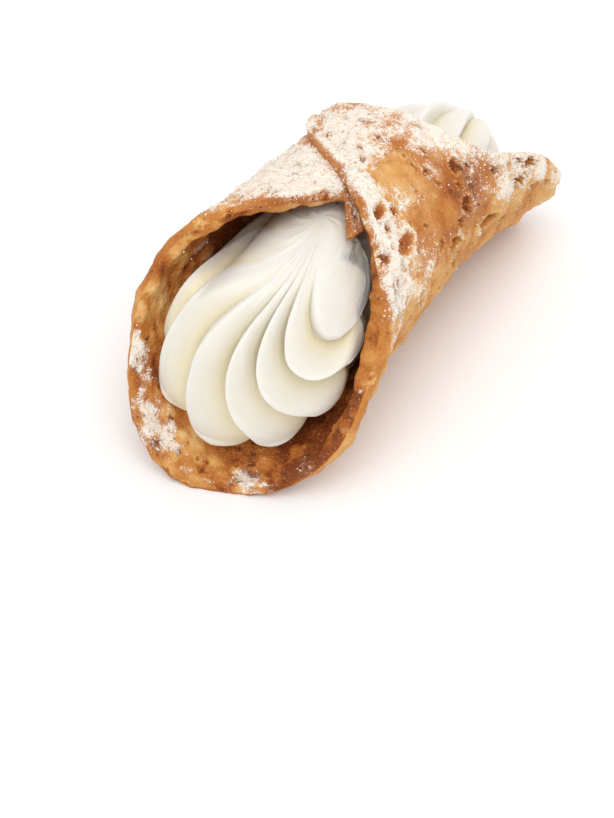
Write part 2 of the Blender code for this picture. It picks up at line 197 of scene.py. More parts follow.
def flare(inwards, angle, height, length, power, way, least):
    """How far a mouth flares: a power of the share of its length, times a cosine share round the tube."""
    share = np.clip(1.0 - inwards / length, 0.0, FLARE_MOST)
    return height * (least + (1.0 - least) * (0.5 + 0.5 * np.cos(np.radians(angle - way)))) * share**power


def sheet_radius(angle, along):
    """Distance of the sheet's middle from the tube's axis: the tube, the lap's step, the flares, a swell."""
    radius = TUBE_RADIUS + LAP_STEP * smooth_step(angle, LAP_START, LAP_SPAN)
    radius = radius - TUCK_DEPTH * smooth_step(angle, TUCK_START, -TUCK_SPAN)
    radius = radius + flare(along + LIP_REACH, angle, *FRONT_FLARE)
    radius = radius + flare(BACK_EDGE + BACK_LIP_REACH - along, angle, *BACK_FLARE)
    swell = np.clip((SWELL_START - along) / SWELL_LENGTH, 0.0, SWELL_MOST)
    return radius + SWELL * swell * bell(angle - SWELL_ANGLE, SWELL_SPAN)


lap = FLAP_END - UNDER_END - FULL_TURN
print(f"sheet {FLAP_END - UNDER_END:.0f} degrees round, so the lap is {lap:.0f} degrees wide")

# %% [markdown]
# Frying fills the dough with steam, which lifts blisters of many sizes. They could be sculpted one by one
# or left to a bump texture, but a real shell shows them on its outline too. So they are heights worked
# out on the unrolled sheet. A field of domes puts at most one dome in each cell of a grid, at a random
# spot and of a random size, and a point takes the tallest dome over it. Stretching the grid makes long
# folds instead of round blisters, and small craters are strewn in the same way. A soft noise, whose two
# layers are turned so that no grid shows, does the slower swelling of the whole sheet.

# %% Random heights on the unrolled sheet
CELLS, FAR, SPOT_JITTER = 256, 9.0, 0.8
OCTAVE_SHARES, OCTAVE_TURN, OCTAVE_FINENESS, OCTAVE_SEED_STEP = (0.7, 0.45), 1.3, 2.1, 100


def neighbours(u, v, seed):
    """For each of the nine cells round a point: how far its spot is, and the spot's two random numbers."""
    table = np.random.default_rng(seed).random((CELLS, CELLS, 4))
    column, row = np.floor(u).astype(int), np.floor(v).astype(int)
    for right in (-1, 0, 1):
        for up in (-1, 0, 1):
            spot = table[(column + right) % CELLS, (row + up) % CELLS]
            centre_u = column + right + 0.5 + SPOT_JITTER * (spot[..., 0] - 0.5)
            centre_v = row + up + 0.5 + SPOT_JITTER * (spot[..., 1] - 0.5)
            yield np.hypot(u - centre_u, v - centre_v), spot[..., 2], spot[..., 3]


def dome_field(u, v, seed, present=0.85, small=0.35, large=0.75, steep=0.8):
    """Height from 0 to 1 of domes strewn over unit cells: one less the squared distance over the radius."""
    tallest = np.zeros_like(u)
    for distance, size, chance in neighbours(u, v, seed):
        radius = small + (large - small) * size
        near = np.clip(1.0 - (distance / radius) ** 2, 0.0, 1.0)
        tallest = np.maximum(tallest, (chance < present) * (radius / large) * near**steep)
    return tallest


def crater_field(u, v, seed, present, small, large):
    """Reach of the nearest of craters strewn over unit cells: 0 at its centre, 1 on its rim, more outside."""
    nearest = np.full_like(u, FAR)
    for distance, size, chance in neighbours(u, v, seed):
        reach = distance / (small + (large - small) * size**2)
        nearest = np.minimum(nearest, np.where(chance < present, reach, FAR))
    return nearest


def lattice_noise(u, v, seed):
    """Smooth random heights from -1 to 1: random values at whole numbers, blended by S-curves between."""
    table = np.random.default_rng(seed).random((CELLS, CELLS)) * 2.0 - 1.0
    column, row = np.floor(u).astype(int), np.floor(v).astype(int)
    across, up = smooth_step(u - column), smooth_step(v - row)
    left, right = (table[side % CELLS, row % CELLS] * (1.0 - up) + table[side % CELLS, (row + 1) % CELLS] * up
                   for side in (column, column + 1))
    return left * (1.0 - across) + right * across


def soft_noise(u, v, seed):
    """Two lattice noises, the second one finer and weaker, each turned by its own angle."""
    height = np.zeros_like(u + v)
    for octave, share in enumerate(OCTAVE_SHARES):
        turn, finer = seed + OCTAVE_TURN * octave, OCTAVE_FINENESS**octave
        turned_u = finer * (u * math.cos(turn) - v * math.sin(turn))
        turned_v = finer * (u * math.sin(turn) + v * math.cos(turn))
        height = height + share * lattice_noise(turned_u, turned_v, seed + OCTAVE_SEED_STEP * octave)
    return height


def layered(field, layers, u, v):
    """Sum of a field in several sizes, each layer (its size in u and in v, seed, strength, settings)."""
    return sum(strength * field(u / wide, v / long, seed, *settings)
               for wide, long, seed, strength, *settings in layers)


def patches(spots, angle, along):
    """Sum of soft oval patches, each (angle, along, its two spans, strength): a bell in both directions."""
    return sum(strength * bell(angle - spot_angle, angle_span) * bell(along - spot_along, along_span)
               for spot_angle, spot_along, angle_span, along_span, strength in spots)


def arc_length(angle):
    """Millimetres round the tube at this angle."""
    return TUBE_RADIUS * np.radians(angle)


sample = np.meshgrid(np.arange(0.0, 20.0, 0.1), np.arange(0.0, 20.0, 0.1))
print("share of a skin under its domes:", round(float((dome_field(*sample, seed=11) > 0.0).mean()), 2))

# %% [markdown]
# A blister that bursts in the oil leaves a crater: a thin raised lip round an oval pit. The picture shows
# several plain ones, so each of those is put where it is, by its angle, its place along the tube, its
# half length and half width, how far it is turned from the tube's direction, and its depth. Small ones
# are strewn at random between them, and four soft puffs raise the back tongue where it billowed.

# %% Burst blisters
OUTER_BURSTS = (
    (104.4, 2.6, 2.1, 1.0, 0, 1.0), (91.6, 15.9, 3.5, 1.2, -11, 1.1), (152.0, -10.8, 2.4, 1.1, 12, 0.8),
    (137.0, 11.6, 1.6, 1.0, 40, 0.7), (117.7, 9.0, 2.0, 1.2, 0, 0.45), (100.0, 26.5, 1.5, 1.1, 20, 1.2),
    (104.0, 30.6, 1.3, 1.0, 0, 1.1), (131.0, -11.5, 3.2, 1.4, 8, 0.5), (134.0, -17.5, 1.7, 0.8, 5, 0.6),
    (121.0, -18.5, 0.9, 0.7, 0, 0.7), (118.0, -21.0, 0.9, 0.6, 0, 0.7), (112.0, -2.0, 1.3, 0.8, 30, 0.5),
    (-150.0, 2.0, 2.2, 1.2, 10, 0.8), (-96.0, -12.0, 1.6, 1.2, 60, 0.7), (-40.0, 6.0, 2.0, 1.3, 20, 0.8),
    (20.0, -8.0, 2.2, 1.2, -30, 0.8), (62.0, -14.0, 2.4, 1.1, 0, 0.9), (-75.0, 14.0, 1.8, 1.0, 45, 0.8),
)
INNER_BURSTS = ((2.0, -44.6, 1.5, 1.2, 0, 1.0), (-58.0, -38.0, 1.2, 0.8, 30, 0.5))
OUTER_PUFFS = ((80.0, 39.5, 8.0, 2.6, 1.7), (62.0, 40.5, 7.0, 2.4, 1.2), (94.0, 34.0, 7.0, 2.2, 1.1),
               (50.0, 34.5, 8.0, 2.2, 0.8))
PIT_POWER, PIT_EVENNESS = 4, 0.7
BURST_LIP, BURST_LIP_PLACE, BURST_LIP_WIDTH = 0.5, 1.16, 0.24
SMALL_BURSTS, SMALL_BURST_DEPTH, SMALL_BURST_SHARE, SMALL_BURST_SIZES = 3.3, 0.6, 0.34, (0.13, 0.30)


def craters(bursts, angle, along, seed):
    """The pit and the lip of the nearest crater, each from 0 to 1, and its depth.

    A pit falls off as one less the fourth power of the reach, and a lip is a bell round the pit's rim."""
    u = arc_length(angle)
    reach = crater_field(u / SMALL_BURSTS, along / SMALL_BURSTS, seed, SMALL_BURST_SHARE, *SMALL_BURST_SIZES)
    deep = np.full_like(reach, SMALL_BURST_DEPTH)
    for burst_angle, burst_along, half_length, half_width, turn, depth in bursts:
        across, lengthways = arc_length(angle - burst_angle), along - burst_along
        sine, cosine = math.sin(math.radians(turn)), math.cos(math.radians(turn))
        here = np.hypot((lengthways * cosine + across * sine) / half_length,
                        (across * cosine - lengthways * sine) / half_width)
        deep = np.where(here < reach, depth, deep)
        reach = np.minimum(reach, here)
    return np.clip(1.0 - reach**PIT_POWER, 0.0, 1.0), bell(reach - BURST_LIP_PLACE, BURST_LIP_WIDTH), deep


def with_craters(height, pit, lip, deep):
    """A skin's height with its craters: evened out in a pit, sunk by its depth, and raised along its lip."""
    return height * (1.0 - PIT_EVENNESS * pit) - deep * pit + BURST_LIP * np.minimum(deep, 1.0) * lip


print("large craters:", len(OUTER_BURSTS), "outside,", len(INNER_BURSTS), "inside")

# %% [markdown]
# Each face of the sheet has its own skin. The outer one is puffed into mixed blisters, with long folds
# that run beside the front edge. The inner one is smooth deep in the tube, where it lay on the metal, and
# has round blisters near the mouths. A bead runs along the front rim inside, where the dough curled in.
# Where the flap covers the layer under it, both skins stay flat, so that the two never cross.

# %% Skin heights
BEAD_HEIGHT, BEAD_EXTRA, BEAD_ANGLE, BEAD_SPAN, BEAD_PLACE, BEAD_WIDTH = 0.3, 1.5, 108.0, 42.0, 1.1, 1.7
LAYER_RAMP, LAYER_MARGIN = 3.0, 6.0
# The layers of each skin. A dome's settings are the share of cells that has one, its least and largest
# radius as shares of a cell, and its steepness.
OUTER_SWELLING = ((7.5, 7.5, 5, 0.35),)
OUTER_DOMES = ((5.4, 6.2, 11, 0.60), (2.7, 3.1, 12, 0.42), (1.3, 1.4, 13, 0.20))
FOLDS, FOLD_REACH = ((3.4, 9.0, 31, 0.75, 0.95, 0.4, 0.8),), 11.0
INNER_SWELLING = ((6.0, 6.0, 24, 0.2),)
INNER_DOMES = ((5.2, 5.2, 21, 0.5, 0.8), (2.9, 2.9, 22, 0.6, 0.8, 0.35, 0.75, 0.55),
               (1.9, 1.9, 23, 0.42, 0.6, 0.28, 0.5, 0.5))
INNER_CRATER_SEED, OUTER_CRATER_SEED = 25, 15
# How far in from each edge the inner blisters reach, how far they take to fade, and the height left there.
FRONT_SKIN, FRONT_SKIN_FADE, BACK_SKIN, BACK_SKIN_FADE, METAL_SKIN = 14.0, 8.0, 8.0, 6.0, 0.08


def layer_share(angle, along):
    """1 behind the front edge of a layer that reaches this angle, 0 elsewhere, with a ramp at that edge."""
    there = (angle > UNDER_END - LAYER_MARGIN) & (angle < FLAP_END + LAYER_MARGIN)
    return there * smooth_step(along - front_edge(angle), -LAYER_RAMP, LAYER_RAMP)


def outer_relief(angle, along, crater):
    """Height of the outer skin: swelling, domes, folds, puffs and craters, with none under the flap."""
    u, from_front = arc_length(angle), along - front_edge(angle)
    height = layered(soft_noise, OUTER_SWELLING, u, along) + layered(dome_field, OUTER_DOMES, u, along)
    height = height + bell(from_front, FOLD_REACH) * layered(dome_field, FOLDS, from_front, u)
    height = with_craters(height + patches(OUTER_PUFFS, angle, along), *crater)
    return height * (1.0 - layer_share(angle + FULL_TURN, along))


def rim_bead(angle, along):
    """Height of the bead along the front rim's inner side: a bell across it, thickest on the flap's side."""
    height = BEAD_HEIGHT + BEAD_EXTRA * bell(angle - BEAD_ANGLE, BEAD_SPAN)
    return height * bell(along - front_edge(angle) - BEAD_PLACE, BEAD_WIDTH)


def inner_relief(angle, along):
    """Height of the inner skin: domes and craters near the mouths, nearly none where it lay on the metal."""
    u = arc_length(angle)
    near_front = smooth_step(along - front_edge(angle), FRONT_SKIN + FRONT_SKIN_FADE, -FRONT_SKIN_FADE)
    near_back = smooth_step(back_edge(angle) - along, BACK_SKIN + BACK_SKIN_FADE, -BACK_SKIN_FADE)
    mouth = np.clip(near_front + near_back, 0.0, 1.0)
    height = layered(soft_noise, INNER_SWELLING, u, along) + layered(dome_field, INNER_DOMES, u, along)
    height = with_craters(height, *craters(INNER_BURSTS, angle, along, INNER_CRATER_SEED))
    return (height * mouth + METAL_SKIN * (1.0 - mouth)) * (1.0 - layer_share(angle - FULL_TURN, along))


skin_width = float(arc_length(FLAP_END) - arc_length(UNDER_END))
print("skin worked out over", round(skin_width), "mm round the tube")

# %% [markdown]
# Fine sugar was sifted over the top. It sits where the crust faces up, on the crests of blisters and
# folds, and slides off steep places. Most of the top has a thin dusting. The thick patches have a weight
# instead: a base, soft patches where the picture shows more or less of it, a band along each edge, the
# height of the skin and two sizes of noise. An S-curve turns that weight into a share with a soft border.
# The rim itself and the pits stay bare, and the lips of the pits catch a little more.

# %% Sugar on both skins
OUTER_SUGAR = (
    (-160.0, -9.0, 36.0, 13.0, 0.95), (171.0, -7.0, 14.0, 5.0, 0.8), (186.0, 0.5, 14.0, 5.0, 0.5),
    (200.0, 7.0, 16.0, 6.0, 0.5), (105.0, 21.5, 10.0, 2.4, 0.8), (112.0, 27.0, 20.0, 4.5, 0.4),
    (158.0, -1.0, 12.0, 5.0, -1.2), (126.0, 2.5, 13.0, 8.0, -1.1), (98.0, 6.0, 12.0, 9.0, -0.4),
    (88.0, 34.0, 26.0, 9.0, 0.6), (74.0, 14.0, 16.0, 16.0, 0.45), (84.0, -8.0, 14.0, 12.0, 0.3),
)
INNER_SUGAR = (
    (-74.0, -43.0, 13.0, 3.5, 0.9), (-42.0, -46.5, 16.0, 3.5, 0.95), (5.0, -45.5, 11.0, 3.0, 0.75),
    (-107.0, -24.0, 14.0, 5.0, 0.42), (-199.0, -14.0, 12.0, 7.0, 0.9), (30.0, -41.0, 12.0, 2.5, 0.25),
)
# Each band along an edge: its reach from the edge, its angle, its span round the tube, and its weight.
FRONT_BAND, BACK_BAND = (8.5, 132.0, 34.0, 0.85), (5.5, 160.0, 45.0, 0.75)
OUTER_BASE, INNER_BASE, INNER_REACH = 0.54, 0.12, 3.0
BARE_RIM, BARE_RIM_WIDTH, BARE_PIT, SWEET_LIP, SWEET_CREST = 0.9, 1.3, 0.9, 0.25, 0.5
OUTER_GRAIN = ((2.6, 3.8, 41, 0.36), (1.1, 1.4, 42, 0.30))
INNER_GRAIN = ((2.4, 1.9, 43, 0.34), (0.9, 0.9, 44, 0.32))
THICK_START, THICK_SPAN, THICKEST = 0.335, 1.25, 0.98
INNER_THICK_START, INNER_THICK_SPAN = 0.12, 0.9
DUSTING, DUSTING_NOISE, DUSTING_START, DUSTING_SPAN = 0.34, ((4.5, 4.5, 45, 0.16),), -0.7, 0.9
THICK_FACING, THIN_FACING, INNER_FACING = (-0.35, 0.7), (-0.5, 0.7), (-0.8, 0.6)


def sugar_band(angle, inwards, reach, band_angle, span, weight):
    """Weight of sugar in a band along an edge: a bell inwards from the edge times a bell round the tube."""
    return weight * bell(inwards, reach) * bell(angle - band_angle, span)


def outer_sugar(angle, along, height, facing_up, crater):
    """Share of sugar on the outer skin, from 0 to 1: a thin dusting, and thick patches by an S-curve."""
    u, from_front = arc_length(angle), along - front_edge(angle)
    pit, lip, _ = crater
    weight = OUTER_BASE + patches(OUTER_SUGAR, angle, along)
    weight = weight + sugar_band(angle, from_front, *FRONT_BAND)
    weight = weight + sugar_band(angle, back_edge(angle) - along, *BACK_BAND)
    weight = weight * smooth_step(facing_up, *THICK_FACING) - BARE_RIM * bell(from_front, BARE_RIM_WIDTH)
    weight = weight - BARE_PIT * pit + SWEET_LIP * lip
    rough = layered(soft_noise, OUTER_GRAIN, u, along)
    thick = smooth_step(weight + rough + SWEET_CREST * height, THICK_START, THICK_SPAN)
    dusting = (DUSTING + layered(soft_noise, DUSTING_NOISE, u, along)) * smooth_step(facing_up, *THIN_FACING)
    dusting = dusting * smooth_step(weight, DUSTING_START, DUSTING_SPAN)
    return np.clip(dusting + (THICKEST - dusting) * thick, 0.0, 1.0)


def inner_sugar(angle, along, facing_up):
    """Share of sugar on the inner skin, which caught it only near the lip and on the inner corner."""
    weight = patches(INNER_SUGAR, angle, along) + INNER_BASE * bell(along - front_edge(angle), INNER_REACH)
    weight = weight + layered(soft_noise, INNER_GRAIN, arc_length(angle), along)
    thick = smooth_step(weight, INNER_THICK_START, INNER_THICK_SPAN)
    return THICKEST * thick * smooth_step(facing_up, *INNER_FACING)


print("sugar:", len(OUTER_SUGAR), "patches outside,", len(INNER_SUGAR), "inside")

# %% [markdown]
# The frying shade works the same way. It is one number, 0 for pale gold and 1 for deep brown: a base, two
# sizes of mottling, and patches where the picture shows paler or darker crust. Inside the mouth some
# patches are painted light and shade instead: a painted shadow deep in the tube behind the cream, a darker
# patch at the cream's foot that is partly painted contact shadow, and a paler patch on the left wall that
# is partly painted light. Thin blister tops and the lips of pits stay pale, while the pits and the rim
# outside fry browner, and the inside of the mouth is browner all over.

# %% Frying shade of both skins
OUTER_SHADES = ((158.0, -1.0, 13.0, 6.0, -0.08), (121.0, 7.0, 18.0, 10.0, 0.36),
                (100.0, -14.0, 14.0, 8.0, -0.10), (175.0, 8.0, 14.0, 5.0, 0.12),
                (148.0, 14.0, 8.0, 7.0, -0.24))
# Inside, the patch at -118 degrees is painted shadow deep in the tube behind the cream, the one at 5 degrees
# is partly the crust's own brown and partly painted contact shadow at the cream's foot, and the paler one at
# -88 degrees on the left wall is partly its golden colour and partly painted light.
INNER_TOAST_AND_SHADOW_PATCHES = ((-88.0, -34.0, 20.0, 8.0, -0.5), (-20.0, -42.0, 13.0, 5.0, -0.30),
                (5.0, -34.0, 55.0, 7.0, 0.5), (30.0, -43.0, 26.0, 6.0, 0.28), (-118.0, -20.0, 24.0, 9.0, 0.4))
OUTER_MOTTLING = ((13.0, 13.0, 51, 0.12), (4.0, 4.0, 52, 0.12))
INNER_MOTTLING = ((6.0, 6.0, 53, 0.25), (2.5, 2.5, 54, 0.20))
OUTER_SHADE, INNER_SHADE, RIM_SHADE, RIM_SHADE_WIDTH = 0.58, 0.92, 0.24, 2.2
OUTER_CREST_PALENESS, INNER_CREST_PALENESS, PIT_SHADE, LIP_PALENESS = 0.30, 0.60, 0.13, 0.24


def outer_toast(angle, along, height, crater):
    """Frying shade of the outer skin: less on heights and lips, more in pits and along the front rim."""
    pit, lip, _ = crater
    shade = OUTER_SHADE + layered(soft_noise, OUTER_MOTTLING, arc_length(angle), along)
    shade = shade + patches(OUTER_SHADES, angle, along)
    shade = shade + RIM_SHADE * bell(along - front_edge(angle), RIM_SHADE_WIDTH)
    return np.clip(shade - OUTER_CREST_PALENESS * height + PIT_SHADE * pit - LIP_PALENESS * lip, 0.0, 1.0)


def inner_toast_and_shadow(angle, along, height):
    """Frying shade of the inner skin: browner, less on heights, with painted shade and light in three
    patches.
    """
    shade = INNER_SHADE + layered(soft_noise, INNER_MOTTLING, arc_length(angle), along)
    return np.clip(shade + patches(INNER_TOAST_AND_SHADOW_PATCHES, angle, along) - INNER_CREST_PALENESS * height, 0.0, 1.0)


print("shade:", OUTER_SHADE, "outside and", INNER_SHADE, "inside, before mottling")

# %% [markdown]
# Every surface here is worked out as whole arrays, so one helper turns arrays into a mesh in a few calls.
# It takes the points, the faces and any values that a material reads at the points. Others join the
# points of a grid into faces, and join two grids at their border.

# %% From arrays to a mesh
def make_piece(name, points, face_groups, values=None):
    """A smooth piece from points in millimetres, lists of quads or triangles, and named point values."""
    mesh = bpy.data.meshes.new(name)
    corners = np.concatenate([group.ravel() for group in face_groups]).astype(np.int32)
    sizes = np.concatenate([np.full(len(group), group.shape[1]) for group in face_groups]).astype(np.int32)
    mesh.vertices.add(len(points))
    mesh.vertices.foreach_set("co", np.ascontiguousarray(points * MILLIMETRE, np.float32).ravel())
    mesh.loops.add(len(corners))
    mesh.loops.foreach_set("vertex_index", corners)
    mesh.polygons.add(len(sizes))
    mesh.polygons.foreach_set("loop_start", np.concatenate([[0], np.cumsum(sizes)[:-1]]).astype(np.int32))
    mesh.polygons.foreach_set("loop_total", sizes)
    mesh.update(calc_edges=True)
    mesh.validate()
    for label, data in (values or {}).items():
        attribute = mesh.attributes.new(label, "FLOAT", "POINT")
        attribute.data.foreach_set("value", data.astype(np.float32).ravel())
    mesh.shade_smooth()
    print(f"{name}: {len(points)} points, {int((sizes - 2).sum())} triangles")
    return add_object(name, mesh)


def quads(index):
    """Faces between neighbouring points of a grid of point numbers."""
    return np.stack([index[:-1, :-1], index[:-1, 1:], index[1:, 1:], index[1:, :-1]], -1).reshape(-1, 4)


def stitched(shape):
    """Point numbers of two equal grids that share their border, and which points of the two are kept."""
    count = shape[0] * shape[1]
    outer = np.arange(count).reshape(shape)
    border = np.ones(shape, bool)
    border[1:-1, 1:-1] = False
    kept = np.concatenate([np.ones(count, bool), ~border.ravel()])
    renumbered = np.cumsum(kept) - 1
    return outer, np.where(border, outer, renumbered[outer + count]), kept


# %% [markdown]
# Now the sheet is made. A grid of points is worked out on its middle surface, and the normal at each
# point comes from the cross product of the two differences along the grid. Adding half the thickness and
# the skin's height along the normal gives the outer face, and taking them away gives the inner one. Near
# every edge the half thickness falls to nothing along a quarter circle, so both faces meet there and the
# rim is round. The two grids share their border points, which leaves one closed skin.

# %% The crust
SHEET_COLUMNS, SHEET_ROWS = 262, 168
EDGE_ROUNDING = 0.85
EDGE_STEPS = EDGE_ROUNDING * np.array([0.0, 0.08, 0.25, 0.5, 0.8, 1.2])
RAGGED_EDGE = ((1.7, 1.0, 61, 0.28), (0.8, 1.0, 62, 0.168))
FLATTENED, PRESS_SOFTNESS = 0.65, 0.8
SKIN_FADE, TABLE_CLEAR, TABLE_FADE, INNER_LOWEST = 1.2, 1.2, 3.0, 0.2
SUGAR_DEPTH, EDGE_PALENESS, PALE_EDGE_WIDTH = 0.22, 0.04, 0.7


def spread(low, high, count):
    """Places from low to high, with the same few close steps at both ends, as a new last axis."""
    low, high = np.asarray(low)[..., None], np.asarray(high)[..., None]
    inner = np.linspace(0.0, 1.0, count - 2 * len(EDGE_STEPS) + 2)[1:-1]
    start, stop = low + EDGE_STEPS[-1], high - EDGE_STEPS[-1]
    return np.concatenate([low + EDGE_STEPS, start + (stop - start) * inner, high - EDGE_STEPS[::-1]], -1)


def soft_excess(over, softness):
    """How far over, but never under nothing: half the sum of itself and the root of two squares."""
    return 0.5 * (over + np.sqrt(over * over + softness**2))


def sheet_grid():
    """Angle and place along the tube of every grid point, and its distance from the nearest edge."""
    arc = spread(arc_length(UNDER_END), arc_length(FLAP_END), SHEET_COLUMNS)
    column = np.degrees(arc / TUBE_RADIUS)
    ragged = layered(soft_noise, RAGGED_EDGE, arc, 0.0 * arc)
    along = spread(front_edge(column) + ragged, back_edge(column) - ragged, SHEET_ROWS)
    angle = np.broadcast_to(column[:, None], along.shape)
    to_sides = np.minimum(arc - arc[0], arc[-1] - arc)[:, None]
    to_ends = np.minimum(along - along[:, :1], along[:, -1:] - along)
    return angle, along, np.minimum(to_sides, to_ends)


def middle_surface(angle, along):
    """Points of the sheet's middle: a polar curve round the axis, tipped, and eased up off the table."""
    turn, radius = np.radians(angle), sheet_radius(angle, along)
    level = np.stack([radius * np.sin(turn), along, -radius * np.cos(turn)], -1)
    points = place(level.reshape(-1, 3)).reshape(level.shape)
    lowest = SHEET_THICKNESS / 2.0 - FLATTENED
    points[..., 2] = lowest + soft_excess(points[..., 2] - lowest, PRESS_SOFTNESS)
    return points


def outward_normals(points):
    """Unit normals of a grid: the cross product of the differences along its two directions."""
    normal = np.cross(np.gradient(points, axis=1), np.gradient(points, axis=0))
    return normal / np.linalg.norm(normal, axis=-1, keepdims=True)


def make_crust():
    """Both skins: the middle surface plus and minus half the thickness, the relief and the sugar's depth."""
    angle, along, to_edge = sheet_grid()
    middle = middle_surface(angle, along)
    normal = outward_normals(middle)
    near = np.clip(to_edge / EDGE_ROUNDING, 0.0, 1.0)
    half = 0.5 * SHEET_THICKNESS * np.sqrt(np.clip(1.0 - (1.0 - near) ** 2, 0.0, 1.0))
    fade = smooth_step(to_edge, 0.0, SKIN_FADE)
    crater = craters(OUTER_BURSTS, angle, along, OUTER_CRATER_SEED)
    outer_height, inner_height = outer_relief(angle, along, crater), inner_relief(angle, along)
    outer_white = outer_sugar(angle, along, outer_height, normal[..., 2], crater)
    inner_white = inner_sugar(angle, along, -normal[..., 2])
    raised = (outer_height + SUGAR_DEPTH * outer_white) * fade
    raised = raised * smooth_step(middle[..., 2], TABLE_CLEAR, TABLE_FADE)
    sunk = (inner_height + SUGAR_DEPTH * inner_white + rim_bead(angle, along)) * fade
    outer = middle + normal * (half + raised)[..., None]
    inner = middle - normal * (half + sunk)[..., None]
    outer[..., 2] = np.maximum(outer[..., 2], 0.0)
    inner[..., 2] = np.maximum(inner[..., 2], INNER_LOWEST)
    outer_shade = outer_toast(angle, along, outer_height, crater)
    # The inner shade carries painted shadow behind the cream and at its foot, and painted light on the left
    # wall.
    shades = np.stack([outer_shade, inner_toast_and_shadow(angle, along, inner_height)])
    toast_and_painted_shadow = np.clip(shades - EDGE_PALENESS * bell(to_edge, PALE_EDGE_WIDTH), 0.0, 1.0)
    outer_index, inner_index, kept = stitched(angle.shape)
    values = {"toast_and_painted_shadow": toast_and_painted_shadow.ravel()[kept], "sugar": np.stack([outer_white, inner_white]).ravel()[kept]}
    points = np.stack([outer, inner]).reshape(-1, 3)[kept]
    return make_piece("crust", points, [quads(outer_index), quads(inner_index)[:, ::-1]], values)


crust = make_crust()

# %% [markdown]
# The cream was piped through a star nozzle, so it comes out as a bundle of ridges that twist as they
# spread. Its surface is a grid too: one direction counts round the ridges, and the other runs from the
# tip, over the swirl's edge, back through the tube and out at the other end. A ridge rises steeply on one
# side and leans over gently on the other, which is what gives the crisp left edges.

# %% Ridges of cream
RIDGES = 11
# The angle round the swirl's edge, in degrees, at which these ridges start.
RIDGE_COUNTS, RIDGE_ANGLES = (0.0, 2.0, 6.0, RIDGES), (222.8, 300.8, 431.7, 582.8)
RIDGE_RISE, RIDGE_FALL, RIDGE_CREST = 0.18, 1.5, 0.9
LOBE_REACH, LOBE_MEAN, LOBE_FULLNESS = 0.14, 0.72, 0.7
OUTLINE_ANGLES = (25.0, 60.0, 95.0, 130.0, 165.0, 195.0, 218.0, 245.0, 300.0, 345.0)
OUTLINE_REACH = (0.85, 0.84, 0.82, 0.74, 0.74, 0.80, 0.92, 1.01, 1.02, 0.95)


def ridge_profile(phase):
    """Height of a ridge across its width: a short S-shaped rise, then a long fall as one less a power."""
    share = np.mod(phase, 1.0)
    return smooth_step(share, 0.0, RIDGE_RISE) * (1.0 - share**RIDGE_FALL) ** RIDGE_CREST


def lobe_profile(phase):
    """How far a ridge stands out at the swirl's edge: a full round arch, a power of a sine."""
    return np.sin(np.pi * np.mod(phase, 1.0)) ** LOBE_FULLNESS - LOBE_MEAN


def ridge_angle(phase):
    """Angle round the swirl's edge of a ridge: the first two are wide, and those behind are narrow."""
    return np.radians(np.interp(phase, RIDGE_COUNTS, RIDGE_ANGLES))


def outline_reach(edge):
    """How far the swirl's outline reaches at each angle: full at the lower lip, drawn in elsewhere."""
    return np.interp(np.degrees(edge) % FULL_TURN, OUTLINE_ANGLES, OUTLINE_REACH, period=FULL_TURN)


RIDGE_MEAN = float(ridge_profile(np.linspace(0.0, 1.0, 1000, endpoint=False)).mean())
print(RIDGES, "ridges, on average", round(RIDGE_MEAN, 2), "of their full height")

# %% [markdown]
# The cut end of the tube is a slanted mouth, and the front swirl is laid out on its plane: a place across
# the mouth, a place up its slope, and a height out of it. The tube is a plain cylinder as far as the cream
# is concerned, so there is less and less height towards the lapped corner.

# %% The mouth of the tube
MOUTH_CENTRE, MOUTH_NORMAL = np.array([-1.8, -33.4, -2.0]), np.array([0.221, -0.801, 0.556])
FILLED_RADIUS = 15.2


def mouth_axes():
    """Directions across the mouth, up its slope, and the way it faces."""
    facing = MOUTH_NORMAL / np.linalg.norm(MOUTH_NORMAL)
    up_slope = np.array([0.0, 1.0, 0.0]) - facing[1] * facing
    up_slope = up_slope / np.linalg.norm(up_slope)
    return np.cross(up_slope, facing), up_slope, facing


def height_in_tube(a, b):
    """How far out of the mouth the round tube lets cream stand: the far root of a circle's equation."""
    across, up_slope, facing = mouth_axes()
    x, z = (MOUTH_CENTRE[i] + a * across[i] + b * up_slope[i] for i in (0, 2))
    square = facing[0] ** 2 + facing[2] ** 2
    lean = x * facing[0] + z * facing[2]
    inside = np.clip(lean**2 - square * (x**2 + z**2 - FILLED_RADIUS**2), 0.0, None)
    return (np.sqrt(inside) - lean) / square


print("the mouth faces", [round(float(part), 2) for part in mouth_axes()[2]])

# %% [markdown]
# The swirl is a ring on the plane of the mouth, drawn in towards a point near the upper rim while it turns
# and rises. Its sides turn down softly, and the tip is pressed flat under the lapped corner, where the tube
# leaves no room.

# %% The front swirl
SWIRL_CENTRE, SWIRL_HALF_WIDTH, SWIRL_HALF_LENGTH, OUTLINE_POWER = (-1.9, 3.7), 20.0, 24.8, 3
SWIRL_HEIGHT, DOME_POWER = 12.0, 2.4
TIP_SHIFT, TIP_SHIFT_POWER, TIP_DIP, TIP_DIP_POWER = (-3.5, 21.4), 0.80, 8.5, 4
SWIRL_TWIST, TIP_TWIST = math.radians(94.8), math.radians(115.7)
TWIST_POWER, TWIST_SWAY, TWIST_SWAY_ANGLE = 1.81, 0.36, math.radians(57.7)
RIDGE_HEIGHT, HEIGHT_SWAY, HEIGHT_SWAY_ANGLE = 4.5, 0.42, math.radians(20.0)
RELIEF_START, RELIEF_SPAN = 0.1, 1.0 / 1.4
TOP_DROP, TOP_START, TOP_START_SPAN = 10.0, math.radians(68.0), math.radians(30.0)
TOP_END, TOP_END_SPAN = math.radians(220.0), math.radians(80.0)
STRAIGHT_START, STRAIGHTENING, TOP_SOFTENING = math.radians(38.0), 0.85, 0.6
PRESSED_ROUNDING, UPPER_PART = 1.5, 10.0
